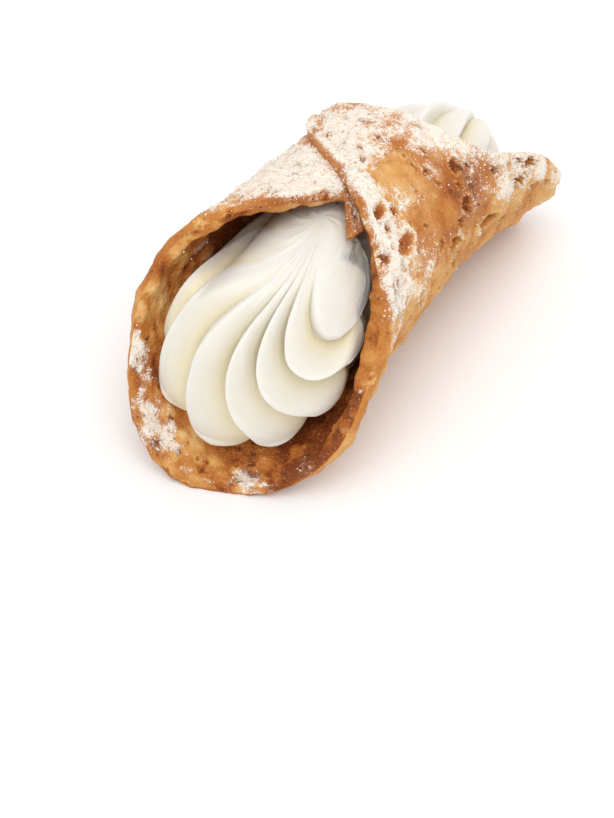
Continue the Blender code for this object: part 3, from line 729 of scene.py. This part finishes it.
UNDERSIDE_DEPTH, UNDERSIDE_FADE, TOP_UNDERSIDE_CUT = 9.0, 0.4, 0.8
UNDERSIDE_NARROWING, NARROWING_POWER = 0.10, 1.6
SIDE_ROUND_START, SIDE_ROUND_DROP = 0.84, 2.4


def top_share(edge, start):
    """1 for the ridges at the top of the mouth, 0 for those at the sides and below, with soft ramps."""
    turn = np.mod(edge, 2.0 * np.pi)
    return smooth_step(turn, start, TOP_START_SPAN) * smooth_step(turn, TOP_END, -TOP_END_SPAN)


def side_drop(scale):
    """How far the swirl turns down near its outline: one less the root of one less a square."""
    share = np.clip((scale - SIDE_ROUND_START) / (1.0 - SIDE_ROUND_START), 0.0, 1.0)
    return SIDE_ROUND_DROP * (1.0 - np.sqrt(1.0 - share * share))


def swirl_outline(phase, scale, under):
    """Places across the mouth and up its slope: an oval that shrinks towards the tip, curling as it does."""
    edge = ridge_angle(phase)
    curl = SWIRL_TWIST * (1.0 + TWIST_SWAY * np.cos(edge - TWIST_SWAY_ANGLE)) * (1.0 - scale**TWIST_POWER)
    turned = TIP_TWIST * (1.0 - scale) ** 2 - curl
    around = edge + turned * (1.0 - STRAIGHTENING * top_share(edge, STRAIGHT_START))
    size = scale * (1.0 - UNDERSIDE_NARROWING * under**NARROWING_POWER)
    size = size * (1.0 + LOBE_REACH * lobe_profile(phase) * scale)
    size = size * (1.0 + (outline_reach(edge) - 1.0) * scale**OUTLINE_POWER)
    shift = (1.0 - scale) ** TIP_SHIFT_POWER
    return (size * np.cos(around) * SWIRL_HALF_WIDTH + shift * TIP_SHIFT[0],
            size * np.sin(around) * SWIRL_HALF_LENGTH + shift * TIP_SHIFT[1])


def front_swirl(phase, scale, under):
    """The front swirl: a dome of ridges over the oval, pressed under the tube; under counts down its edge."""
    across, up_slope, facing = mouth_axes()
    edge = ridge_angle(phase)
    a, b = swirl_outline(phase, scale, under)
    out = np.clip(np.hypot(a / SWIRL_HALF_WIDTH, b / SWIRL_HALF_LENGTH), 0.0, 1.0)
    above = smooth_step(under, UNDERSIDE_FADE, -UNDERSIDE_FADE)
    dome = SWIRL_HEIGHT * (1.0 - out**DOME_POWER) * above - TIP_DIP * (1.0 - scale) ** TIP_DIP_POWER
    top = top_share(edge, TOP_START)
    tall = RIDGE_HEIGHT * (1.0 + HEIGHT_SWAY * np.cos(edge - HEIGHT_SWAY_ANGLE)) * (1.0 - TOP_SOFTENING * top)
    relief = tall * (ridge_profile(phase) - RIDGE_MEAN) * above
    height = dome + relief * smooth_step(scale, RELIEF_START, RELIEF_SPAN) - side_drop(scale)
    a, b = a + SWIRL_CENTRE[0], b + SWIRL_CENTRE[1]
    pressed = soft_excess(height - height_in_tube(a, b), PRESSED_ROUNDING)
    height = height - pressed * smooth_step(b, 0.0, UPPER_PART)
    height = height - TOP_DROP * top * scale**2
    height = height - UNDERSIDE_DEPTH * under * (1.0 - TOP_UNDERSIDE_CUT * top)
    return MOUTH_CENTRE + a[..., None] * across + b[..., None] * up_slope + height[..., None] * facing


print("front swirl", 2.0 * SWIRL_HALF_WIDTH, "by", 2.0 * SWIRL_HALF_LENGTH, "mm on the plane of the mouth")

# %% [markdown]
# Nothing shows of the filling inside the tube, so it is one plain round column. At the back it comes out as
# a smaller star. Its radius falls to nothing at the end while the ridges turn a little, which gives the
# blunt point that a nozzle leaves.

# %% The filling inside and the back swirl
BACK_SWIRL_START, BACK_SWIRL_LENGTH, BACK_SWIRL_RADIUS, BACK_SWIRL_POWER = 14.0, 27.0, 13.6, 2.2
BACK_SWIRL_LEAN, BACK_SWIRL_SINK, BACK_SWIRL_TWIST = 4.0, 1.0, 0.6
BACK_RIDGE, BACK_RIDGE_START, BACK_RIDGE_SPAN = 0.30, -0.05, 1.0 / 6.0
CORE_RADIUS, CORE_TURN, CORE_FRONT, CORE_BACK = 13.6, math.radians(21.7), -6.0, 6.0


def back_swirl(phase, share):
    """The back swirl: a star whose radius falls to nothing as the root of one less the length's power."""
    narrowing = np.sqrt(np.clip(1.0 - share**BACK_SWIRL_POWER, 0.0, 1.0))
    tall = BACK_RIDGE * smooth_step(share, BACK_RIDGE_START, BACK_RIDGE_SPAN)
    radius = BACK_SWIRL_RADIUS * narrowing * (1.0 + tall * (ridge_profile(phase) - RIDGE_MEAN))
    around = ridge_angle(phase) + BACK_SWIRL_TWIST * share
    parts = (radius * np.cos(around) + BACK_SWIRL_LEAN * share, BACK_SWIRL_START + BACK_SWIRL_LENGTH * share,
             radius * np.sin(around) - BACK_SWIRL_SINK * share)
    return np.stack(np.broadcast_arrays(*parts), -1)


def core(phase, along):
    """The filling inside the tube: a plain round column."""
    around = ridge_angle(phase) - CORE_TURN
    parts = (CORE_RADIUS * np.cos(around), along, CORE_RADIUS * np.sin(around))
    return np.stack(np.broadcast_arrays(*parts), -1)


print("filling", 2.0 * CORE_RADIUS, "mm across, back swirl", BACK_SWIRL_LENGTH, "mm long")

# %% [markdown]
# Cream fills a shell until it touches the wall. Every point of the grid is measured from the tube's axis
# and drawn in where it would pass the wall's inner skin, blisters included. A rounded least of the two
# distances keeps the line of contact soft. The visible cream so presses against the crust at the top of
# the mouth and stands free of it at the long lower lip, as in the picture.

# %% The cream meets the wall
WALL_GAP, WALL_SOFTNESS, UNDER_FILLING = 0.12, 0.8, 28.0


def wall_room(points):
    """Distance from the tube's axis to the wall's inner skin at the angle and place of each point."""
    angle, along = np.degrees(np.arctan2(points[..., 0], -points[..., 2])), points[..., 1]
    own = sheet_radius(angle, along) - inner_relief(angle, along) - rim_bead(angle, along)
    under = sheet_radius(angle - FULL_TURN, along) - inner_relief(angle - FULL_TURN, along)
    under_share = smooth_step(angle - FULL_TURN, UNDER_END - UNDER_FILLING, UNDER_FILLING)
    return own + (np.minimum(own, under) - own) * under_share - SHEET_THICKNESS / 2.0 - WALL_GAP


def kept_inside(points):
    """Points drawn straight towards the axis where they would pass the wall: a least of two, rounded."""
    reach = np.hypot(points[..., 0], points[..., 2])
    shrink = 1.0 - soft_excess(reach - wall_room(points), WALL_SOFTNESS) / np.maximum(reach, WALL_SOFTNESS)
    return points * np.stack([shrink, np.ones_like(shrink), shrink], -1)


print("room in the tube:", round(float(wall_room(np.array([[0.0, 0.0, -1.0]]))[0]), 1), "mm straight down")

# %% [markdown]
# The rings of points are laid end to end: the dome, its underside, a blend to the column, and the back
# swirl, with the points crowded into the valleys, where the surface bends most. Fine streaks and a slow
# unevenness then move each point along its normal, as the nozzle's teeth and a soft cream do. Each point
# also carries a value that rises towards the valley beside it, which paints a warm shade into the cream
# there, in place of light bounced between the ridges.

# %% The cream's surface
POINTS_A_RIDGE, VALLEY_CROWDING = 28, 0.125
DOME_RINGS, UNDERSIDE_RINGS, BLEND_RINGS, CORE_RINGS, BACK_RINGS = 120, 26, 14, 4, 64
# Each unevenness: its height, its blobs to each radian round, how many rings long one is, and its seed.
UNEVENNESS, END_RINGS = ((0.14, 9.0, 30.0, 71), (0.22, 3.0, 17.0, 72)), 12
VALLEY_SHADE_POWER, TIP_RINGS = 2.6, 48
LEAST_LENGTH = 1e-9


def steps(count):
    """Equal shares of a stretch, the first one step in and the last at its end, as a column."""
    return np.linspace(0.0, 1.0, count + 1)[1:, None]


def cream_rings():
    """The cream's points, ring after ring from the front tip to the back tip, and the count of ridges."""
    phase = np.arange(POINTS_A_RIDGE * RIDGES)[None] / POINTS_A_RIDGE
    phase = phase - VALLEY_CROWDING * np.sin(2.0 * np.pi * phase)
    dome = front_swirl(phase, np.sin(steps(DOME_RINGS) * np.pi / 2.0), 0.0)
    underside = front_swirl(phase, 1.0, steps(UNDERSIDE_RINGS))
    blend = smooth_step(steps(BLEND_RINGS))[..., None]
    narrowed = underside[-1:] * (1.0 - blend) + core(phase, CORE_FRONT) * blend
    column = core(phase, CORE_FRONT + (CORE_BACK - CORE_FRONT) * steps(CORE_RINGS))
    back = back_swirl(phase, np.sin((steps(BACK_RINGS) - 1.0 / BACK_RINGS) * np.pi / 2.0))
    return np.concatenate([dome, underside, narrowed, column, back]), phase


def make_cream():
    """The closed cream: rings moved along their normals and kept inside the wall, with a fan at each tip."""
    rings, phase = cream_rings()
    ring = np.arange(len(rings))[:, None]
    normal = np.cross(np.gradient(rings, axis=0), np.roll(rings, -1, axis=1) - np.roll(rings, 1, axis=1))
    normal = normal / np.maximum(np.linalg.norm(normal, axis=-1, keepdims=True), LEAST_LENGTH)
    ends = smooth_step(ring, 0.0, END_RINGS) * smooth_step(len(rings) - 1 - ring, 0.0, END_RINGS)
    wrap = 2.0 * np.pi * phase / RIDGES
    uneven = sum(height * soft_noise(blobs * np.cos(wrap) + ring / long, blobs * np.sin(wrap), seed)
                 for height, blobs, long, seed in UNEVENNESS)
    rings = kept_inside(rings - normal * (uneven * ends)[..., None])
    tips = np.stack([rings[0].mean(axis=0), rings[-1].mean(axis=0)])
    count = rings.shape[0] * rings.shape[1]
    index = np.arange(count).reshape(rings.shape[:2])
    closed = np.concatenate([index, index[:, :1]], axis=1)
    front_fan = np.stack([closed[0, 1:], closed[0, :-1], np.full(index.shape[1], count)], -1)
    back_fan = np.stack([closed[-1, :-1], closed[-1, 1:], np.full(index.shape[1], count + 1)], -1)
    # Painted warm shade: a share that rises towards each valley, faded in from the tip.
    valley_shade_share = np.mod(phase, 1.0) ** VALLEY_SHADE_POWER * smooth_step(ring, 0.0, TIP_RINGS)
    values = {"painted_valley_shade": np.concatenate([valley_shade_share.ravel(), [0.0, 0.0]])}
    points = place(np.concatenate([rings.reshape(-1, 3), tips]))
    return make_piece("piped_cream", points, [quads(closed), front_fan, back_fan], values)


cream = make_cream()

# %% [markdown]
# Sifted sugar is not only a colour. Where it lies thick it clots into small crumbs that catch the light
# and roughen the outline. Each crumb is a little ball of twenty faces, squashed and sized at random. The
# spots are drawn from the crust's own faces, with a chance that grows with a face's area and with the
# cube of its share of sugar, so the crumbs gather in the white patches.

# %% Sugar crumbs
CRUMBS, CRUMB_SEED, CLOTTING = 8500, 81, 3
CRUMB_RADIUS, CRUMB_SIZE_POWER, CRUMB_SQUASH = (0.07, 0.22), 2.5, (0.7, 1.25)
CRUMB_SCATTER, CRUMB_RISE, SIDE_TOLERANCE = 0.15, 0.2, 1.01


def ball_shape():
    """Corners and faces of a ball of twenty triangles: three crossed golden rectangles."""
    golden = (1.0 + math.sqrt(5.0)) / 2.0
    flat = np.array([[0.0, s, t * golden] for s in (-1, 1) for t in (-1, 1)])
    corners = np.concatenate([flat, flat[:, [2, 0, 1]], flat[:, [1, 2, 0]]])
    corners = corners / np.linalg.norm(corners[0])
    apart = np.linalg.norm(corners[:, None] - corners[None], axis=-1)
    side = apart[apart > LEAST_LENGTH].min() * SIDE_TOLERANCE
    faces = [(i, j, k) for i, j, k in combinations(range(len(corners)), 3)
             if max(apart[i, j], apart[j, k], apart[i, k]) < side]
    faces = [(i, j, k) if np.linalg.det(corners[[i, j, k]]) > 0 else (i, k, j) for i, j, k in faces]
    return corners, np.array(faces)


def read_values(items, name, width=1, kind=float):
    """One value, or a row of values, of every item in a part of a mesh."""
    values = np.empty(len(items) * width, kind)
    items.foreach_get(name, values)
    return values.reshape(-1, width) if width > 1 else values


def make_crumbs():
    """The crumbs: balls at faces drawn by chance, with each corner moved in or out by a random share."""
    mesh = crust.data
    area = read_values(mesh.polygons, "area")
    centre, normal = read_values(mesh.polygons, "center", 3), read_values(mesh.polygons, "normal", 3)
    corner = read_values(mesh.loops, "vertex_index", kind=np.int32)
    sugar = read_values(mesh.attributes["sugar"].data, "value")
    chance = area * sugar[corner].reshape(len(area), -1).mean(axis=1) ** CLOTTING
    random = np.random.default_rng(CRUMB_SEED)
    chosen = random.choice(len(area), CRUMBS, p=chance / chance.sum())
    low, high = CRUMB_RADIUS
    radius = low + (high - low) * random.random(CRUMBS) ** CRUMB_SIZE_POWER
    spot = centre[chosen] / MILLIMETRE + random.normal(0.0, CRUMB_SCATTER, (CRUMBS, 3))
    spot = spot + normal[chosen] * (CRUMB_RISE * radius)[:, None]
    corners, faces = ball_shape()
    squash = random.uniform(*CRUMB_SQUASH, (CRUMBS, len(corners), 1))
    points = spot[:, None] + corners[None] * radius[:, None, None] * squash
    index = faces[None] + (np.arange(CRUMBS) * len(corners))[:, None, None]
    return make_piece("sugar_crumbs", points.reshape(-1, 3), [index.reshape(-1, 3)])


crumbs = make_crumbs()

# %% [markdown]
# Three finishes follow. Each one is a Principled shader whose colour, roughness and bump come from
# procedural textures on Object coordinates, so the pattern stays put when the pastry is seen from any
# side. A few small helpers keep the node trees short to read.

# %% Helpers for materials
def new_material(name):
    """A new material, its node tree and its Principled shader."""
    material = bpy.data.materials.new(name)
    material.use_nodes = True
    return material, material.node_tree, material.node_tree.nodes["Principled BSDF"]


def feed(tree, socket, value):
    """Puts a number, a colour or another node's output into an input."""
    if isinstance(value, bpy.types.NodeSocket):
        tree.links.new(value, socket)
    else:
        socket.default_value = value


def feed_all(tree, node, **inputs):
    """Feeds several inputs of a node, each by its name with _ for a space."""
    for name, value in inputs.items():
        feed(tree, node.inputs[name.replace("_", " ")], value)


def calculate(tree, operation, *values, clamp=False):
    """The result of one Math node; MULTIPLY_ADD is the first value times the second, plus the third."""
    node = tree.nodes.new("ShaderNodeMath")
    node.operation = operation
    node.use_clamp = clamp
    for socket, value in zip(node.inputs, values):
        feed(tree, socket, value)
    return node.outputs[0]


def total(tree, start, *parts):
    """The start plus every part's value times its weight, each part (value, weight)."""
    for value, weight in parts:
        start = calculate(tree, "MULTIPLY_ADD", value, weight, start)
    return start


print("the plain solids come with", [material.name for material in bpy.data.materials])

# %% [markdown]
# Noise makes mottling and grain, and Voronoi cells make tiny bubbles and pits. The scale of either says how
# many blobs or cells fit into a metre, so these helpers take the size of one in millimetres instead. A ramp
# gives a value its colours, and a bump tilts the light over relief that is too fine for the mesh.

# %% Textures, ramps and bumps
BUBBLE_SOFTNESS = 0.6


def texture(tree, kind, size_mm):
    """A texture on Object coordinates whose pattern has blobs or cells about this many millimetres across."""
    place_node = tree.nodes.new("ShaderNodeTexCoord")
    node = tree.nodes.new(kind)
    feed_all(tree, node, Vector=place_node.outputs["Object"], Scale=1.0 / (size_mm * MILLIMETRE))
    return node


def noise(tree, size_mm, detail=2.0, roughness=0.5):
    """Noise from 0 to 1 whose blobs are about this many millimetres across."""
    node = texture(tree, "ShaderNodeTexNoise", size_mm)
    feed_all(tree, node, Detail=detail, Roughness=roughness)
    return node.outputs["Fac"]


def bubbles(tree, size_mm):
    """Distance to the nearest of many strewn points, softened where two meet: a skin of tiny bubbles."""
    node = texture(tree, "ShaderNodeTexVoronoi", size_mm)
    node.feature = "SMOOTH_F1"
    feed_all(tree, node, Smoothness=BUBBLE_SOFTNESS)
    return node.outputs["Distance"]


def point_value(tree, name):
    """A value that the mesh carries at its points."""
    node = tree.nodes.new("ShaderNodeAttribute")
    node.attribute_name = name
    return node.outputs["Fac"]


def ramp(tree, value, stops):
    """Colours along a value from 0 to 1, given as (place, (red, green, blue))."""
    node = tree.nodes.new("ShaderNodeValToRGB")
    node.color_ramp.interpolation = "EASE"
    while len(node.color_ramp.elements) < len(stops):
        node.color_ramp.elements.new(1.0)
    for element, (where, colour) in zip(node.color_ramp.elements, stops):
        element.position = where
        element.color = (*colour, 1.0)
    feed(tree, node.inputs["Fac"], value)
    return node.outputs["Color"]


def soft_cut(tree, value, low, high):
    """0 under low, 1 over high, and an S-curve between."""
    node = tree.nodes.new("ShaderNodeMapRange")
    node.interpolation_type = "SMOOTHSTEP"
    feed_all(tree, node, Value=value, From_Min=low, From_Max=high)
    return node.outputs["Result"]


def blend_values(tree, share, first, second, kind="FLOAT"):
    """The first value or colour where the share is 0, the second where it is 1, and a mix between."""
    node = tree.nodes.new("ShaderNodeMix")
    node.data_type = kind
    sockets = [socket for socket in node.inputs if socket.enabled]
    for socket, value in zip(sockets, (share, first, second)):
        feed(tree, socket, value)
    return next(socket for socket in node.outputs if socket.enabled)


def bump(tree, shader, height, distance_mm, strength):
    """Tilts the shader's normals by a height, where a height of 1 is this many millimetres."""
    node = tree.nodes.new("ShaderNodeBump")
    feed_all(tree, node, Height=height, Distance=distance_mm * MILLIMETRE, Strength=strength)
    feed_all(tree, shader, Normal=node.outputs["Normal"])


print("blobs 1 mm across need a scale of", round(1.0 / MILLIMETRE))


# %% [markdown]
# Fried crust is never one brown. The frying shade worked out on the sheet, painted shadow inside the mouth
# included, picks a colour from pale gold to deep brown, with two sizes of noise added so that its borders
# are ragged, and fine pale specks for the tiniest bubbles. Round pits of two sizes, too fine for the mesh,
# are darker inside and paler on their thin lips. Sugar lies over it in two ways: a thin warm film, and a
# white lace of grains where the share of sugar, roughened by noise, passes a soft threshold. Oil leaves the
# bare crust a little glossy, while the sugar is dull.

# %% The fried crust's finish
SHADES = ((0.0, (0.82, 0.52, 0.21)), (0.3, (0.72, 0.365, 0.108)), (0.55, (0.57, 0.21, 0.040)),
          (0.8, (0.43, 0.12, 0.016)), (1.0, (0.21, 0.045, 0.006)))
MOTTLE_SIZE, MOTTLE, GRAIN_SIZE, GRAIN, GRAIN_HARSHNESS = 3.0, 0.34, 0.55, 0.44, 0.7
# The pits of each size: their spacing in millimetres, the share of places that has one, and their radius
# as a share of the spacing. The cuts say how far past that radius a pit and its lip fade out.
SMALL_PITS, WIDE_PITS, PIT_CUT, LIP_CUT = (2.1, 0.55, 0.14), (4.2, 0.40, 0.12), (0.09, 0.15), (0.17, 0.27)
PIT_RAGGEDNESS, PIT_RAGGED_SIZE = 0.22, 0.35
PIT_BROWN, LIP_GOLD, PIT_BARENESS, LIP_CATCH, PIT_DENT, LIP_RISE = 0.18, -0.16, -0.75, 0.10, -1.1, 0.35
SPECK_COLOUR, SPECK_SIZE, SPECK_CUT, SPECK_SHARE = (0.86, 0.60, 0.29, 1.0), 0.42, (0.60, 0.74), 0.25
FILM_COLOUR, FILM_OF_SUGAR, FILM_POWER = (0.92, 0.77, 0.58, 1.0), 0.6, 3.0
SUGAR_COLOUR, WHITE_CUT, SUGAR_ROUGHNESS = (0.92, 0.85, 0.76, 1.0), (0.36, 0.70), 0.9
LACE_SIZE, LACE, LACE_SHIFT, LACE_HARSHNESS, WIDE_LACE_SIZE, WIDE_LACE = 0.4, 2.5, -2.08, 0.8, 1.3, 1.2
OIL_SIZE, OIL_ROUGHNESS, OIL_CHANGE, OIL_SHINE = 2.0, 0.36, 0.3, 0.25
BUBBLE_SIZE, BUBBLE_HEIGHT, SKIN_GRAIN_SIZE, SKIN_DEPTH, SKIN_STRENGTH = 0.8, 0.9, 0.3, 0.42, 0.75


def pits(tree, spacing_mm, share, size):
    """Round pits strewn at this spacing: a mask of the pits and a mask of the thin lips round them."""
    node = texture(tree, "ShaderNodeTexVoronoi", spacing_mm)
    split = tree.nodes.new("ShaderNodeSeparateColor")
    tree.links.new(node.outputs["Color"], split.inputs["Color"])
    here = calculate(tree, "LESS_THAN", split.outputs["Red"], share)
    reach = total(tree, node.outputs["Distance"], (noise(tree, PIT_RAGGED_SIZE * spacing_mm), PIT_RAGGEDNESS))
    masks = []
    for low, high in (PIT_CUT, LIP_CUT):
        inside = calculate(tree, "SUBTRACT", 1.0, soft_cut(tree, reach, size + low, size + high))
        masks.append(calculate(tree, "MULTIPLY", inside, here))
    return masks[0], calculate(tree, "SUBTRACT", masks[1], masks[0], clamp=True)


def crust_colour(tree, pit, lip, sugar, white):
    """The crust's colour: its frying shade with the painted shadow inside, then pale specks, the film and the
    lace.
    """
    mottle, grain = noise(tree, MOTTLE_SIZE, detail=3.0), noise(tree, GRAIN_SIZE, 3.0, GRAIN_HARSHNESS)
    # The value read here is the frying shade, with painted light and shade inside the mouth.
    shade = calculate(tree, "SUBTRACT", point_value(tree, "toast_and_painted_shadow"), 0.5 * (MOTTLE + GRAIN))
    shade = total(tree, shade, (mottle, MOTTLE), (grain, GRAIN), (pit, PIT_BROWN), (lip, LIP_GOLD))
    speck = soft_cut(tree, noise(tree, SPECK_SIZE, detail=1.0), *SPECK_CUT)
    speck = calculate(tree, "MULTIPLY", speck, SPECK_SHARE)
    film = calculate(tree, "MULTIPLY", calculate(tree, "POWER", sugar, FILM_POWER), FILM_OF_SUGAR)
    colour = ramp(tree, shade, SHADES)
    for share, over in ((speck, SPECK_COLOUR), (film, FILM_COLOUR), (white, SUGAR_COLOUR)):
        colour = blend_values(tree, share, colour, over, "RGBA")
    return colour


def make_crust_material():
    """The fried crust: both sizes of pit, the lace of sugar over them, the colour, the gloss and the skin."""
    material, tree, shader = new_material("fried_crust")
    small, wide = pits(tree, *SMALL_PITS), pits(tree, *WIDE_PITS)
    pit, lip = (calculate(tree, "MAXIMUM", *pair) for pair in zip(small, wide))
    sugar = point_value(tree, "sugar")
    lace, wide_lace = noise(tree, LACE_SIZE, 4.0, LACE_HARSHNESS), noise(tree, WIDE_LACE_SIZE)
    covered = total(tree, calculate(tree, "ADD", sugar, LACE_SHIFT), (lace, LACE), (wide_lace, WIDE_LACE),
                    (pit, PIT_BARENESS), (lip, LIP_CATCH))
    white = soft_cut(tree, covered, *WHITE_CUT)
    oily = total(tree, OIL_ROUGHNESS, (noise(tree, OIL_SIZE), OIL_CHANGE))
    feed_all(tree, shader, Base_Color=crust_colour(tree, pit, lip, sugar, white),
             Roughness=blend_values(tree, white, oily, SUGAR_ROUGHNESS), Specular_IOR_Level=OIL_SHINE)
    skin = total(tree, noise(tree, SKIN_GRAIN_SIZE, detail=3.0), (bubbles(tree, BUBBLE_SIZE), BUBBLE_HEIGHT),
                 (pit, PIT_DENT), (lip, LIP_RISE))
    bump(tree, shader, skin, SKIN_DEPTH, SKIN_STRENGTH)
    return material


crust.data.materials.append(make_crust_material())
print("crust finish:", len(crust.data.materials[0].node_tree.nodes), "nodes")

# %% [markdown]
# Cream is bright because light goes into it, scatters, and comes out again a few millimetres away, warmer.
# Subsurface scattering does just that. In the valleys between the ridges the light bounces more than once
# and turns yellow; that shade is painted in, as a yellow tint taken from the value carried by the mesh. Its
# surface is smooth with a faint sheen, and noise keeps it from looking like plastic. Sugar is dull, and
# only its grain shows.

# %% The cream's and the sugar's finishes
CREAM_TONES, CREAM_TONE_SIZE = ((0.3, (0.77, 0.745, 0.685)), (0.7, (0.80, 0.775, 0.72))), 9.0
# The colour of the painted warm shade in the valleys.
VALLEY_SHADE_COLOUR = (0.79, 0.69, 0.45, 1.0)
SHEEN_SIZE, SHEEN_ROUGHNESS, SHEEN_CHANGE = 4.0, 0.32, 0.2
SCATTER, SCATTER_RADIUS, SCATTER_REACH = 0.65, (1.0, 0.9, 0.75), 1.8
CREAM_GRAIN_SIZE, CREAM_DEPTH, CREAM_STRENGTH = 1.1, 0.12, 0.35
SUGAR_TONES, SUGAR_GRAIN_SIZE = ((0.3, (0.88, 0.80, 0.70)), (0.7, (0.94, 0.88, 0.80))), 0.3
CRUMB_ROUGHNESS, SUGAR_GRAIN_DEPTH, SUGAR_GRAIN_STRENGTH = 0.85, 0.1, 0.5


def make_cream_material():
    """The cream: two near tones of ivory, painted yellow shade in the valleys, light scattered under its
    surface.
    """
    material, tree, shader = new_material("piped_ivory_cream")
    tone = ramp(tree, noise(tree, CREAM_TONE_SIZE), CREAM_TONES)
    tone = blend_values(tree, point_value(tree, "painted_valley_shade"), tone, VALLEY_SHADE_COLOUR, "RGBA")
    sheen = total(tree, SHEEN_ROUGHNESS, (noise(tree, SHEEN_SIZE), SHEEN_CHANGE))
    feed_all(tree, shader, Base_Color=tone, Roughness=sheen, Subsurface_Weight=SCATTER,
             Subsurface_Radius=SCATTER_RADIUS, Subsurface_Scale=SCATTER_REACH * MILLIMETRE)
    bump(tree, shader, noise(tree, CREAM_GRAIN_SIZE, detail=3.0), CREAM_DEPTH, CREAM_STRENGTH)
    return material


def make_sugar_material():
    """The crumbs' sugar: white with a warm grain, and dull."""
    material, tree, shader = new_material("sifted_sugar")
    grain = noise(tree, SUGAR_GRAIN_SIZE)
    feed_all(tree, shader, Base_Color=ramp(tree, grain, SUGAR_TONES), Roughness=CRUMB_ROUGHNESS)
    bump(tree, shader, grain, SUGAR_GRAIN_DEPTH, SUGAR_GRAIN_STRENGTH)
    return material


cream.data.materials.append(make_cream_material())
crumbs.data.materials.append(make_sugar_material())
print("finishes:", [material.name for material in bpy.data.materials if material.users])

# %% [markdown]
# Each piece is now tied to the plain solids. All three ride with their one body. The crust stands for the
# plain shell and the piped cream for the plain cream, which aren't shown any more, while the crumbs are
# extra.

# %% What the pieces ride on and stand for
for piece, node, slot in ((crust, "shell", "pastry"), (cream, "cream", "cream"), (crumbs, None, "pastry")):
    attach(piece, "root")
    if node:
        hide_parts(node)
    print(piece.name, "stands for", node)

# %% [markdown]
# The picture was taken on white, in soft light from high above the camera, so each ridge of cream shades
# the valley beside it. A wide white floor, a white world and one large lamp give that: the lamp makes the
# form, the world keeps the shadows pale, and the floor sends light back up into the mouth. A weak lamp
# behind lifts the cream at the back. Their sizes and distances are in metres.

# %% Floor and light
FLOOR_SIZE, FLOOR_COLOUR, FLOOR_ROUGHNESS, FLOOR_SHINE = 4.0, (0.93, 0.93, 0.93, 1.0), 0.9, 0.1
WORLD_COLOUR, WORLD_STRENGTH = (1.0, 1.0, 1.0, 1.0), 0.84
KEY_ROUND, KEY_ABOVE, KEY_SIZE, KEY_POWER = math.radians(32.0), math.radians(68.0), 0.8, 3.2
BACK_ROUND, BACK_ABOVE, BACK_SIZE, BACK_POWER = math.radians(165.0), math.radians(48.0), 0.6, 1.0
LAMP_DISTANCE = 0.9


def add_floor():
    """One large square at table height."""
    half = 0.5 * FLOOR_SIZE / MILLIMETRE
    corners = np.array([[-half, -half, 0.0], [half, -half, 0.0], [half, half, 0.0], [-half, half, 0.0]])
    floor = make_piece("floor", corners, [np.array([[0, 1, 2, 3]])])
    material, tree, shader = new_material("white_floor")
    feed_all(tree, shader, Base_Color=FLOOR_COLOUR, Roughness=FLOOR_ROUGHNESS, Specular_IOR_Level=FLOOR_SHINE)
    floor.data.materials.append(material)


def add_world():
    """The same white light from every side."""
    world = bpy.data.worlds.new("white_world")
    world.use_nodes = True
    background = world.node_tree.nodes["Background"]
    feed_all(world.node_tree, background, Color=WORLD_COLOUR, Strength=WORLD_STRENGTH)
    bpy.context.scene.world = world


def add_lamp(name, way_round, above, size, power):
    """A round lamp that looks at the pastry from this angle round it and above it."""
    lamp = bpy.data.lights.new(name, "AREA")
    lamp.shape = "DISK"
    lamp.size = size
    lamp.energy = power
    right, up, away = looking_axes(way_round, above)
    add_object(name, lamp).matrix_world = aimed(right, up, away, away * LAMP_DISTANCE)


add_floor()
add_world()
add_lamp("key_lamp", KEY_ROUND, KEY_ABOVE, KEY_SIZE, KEY_POWER)
add_lamp("back_lamp", BACK_ROUND, BACK_ABOVE, BACK_SIZE, BACK_POWER)
bpy.context.scene.view_settings.view_transform = "Standard"
print("lamps:", {lamp.name: round(lamp.energy, 1) for lamp in bpy.data.lights})
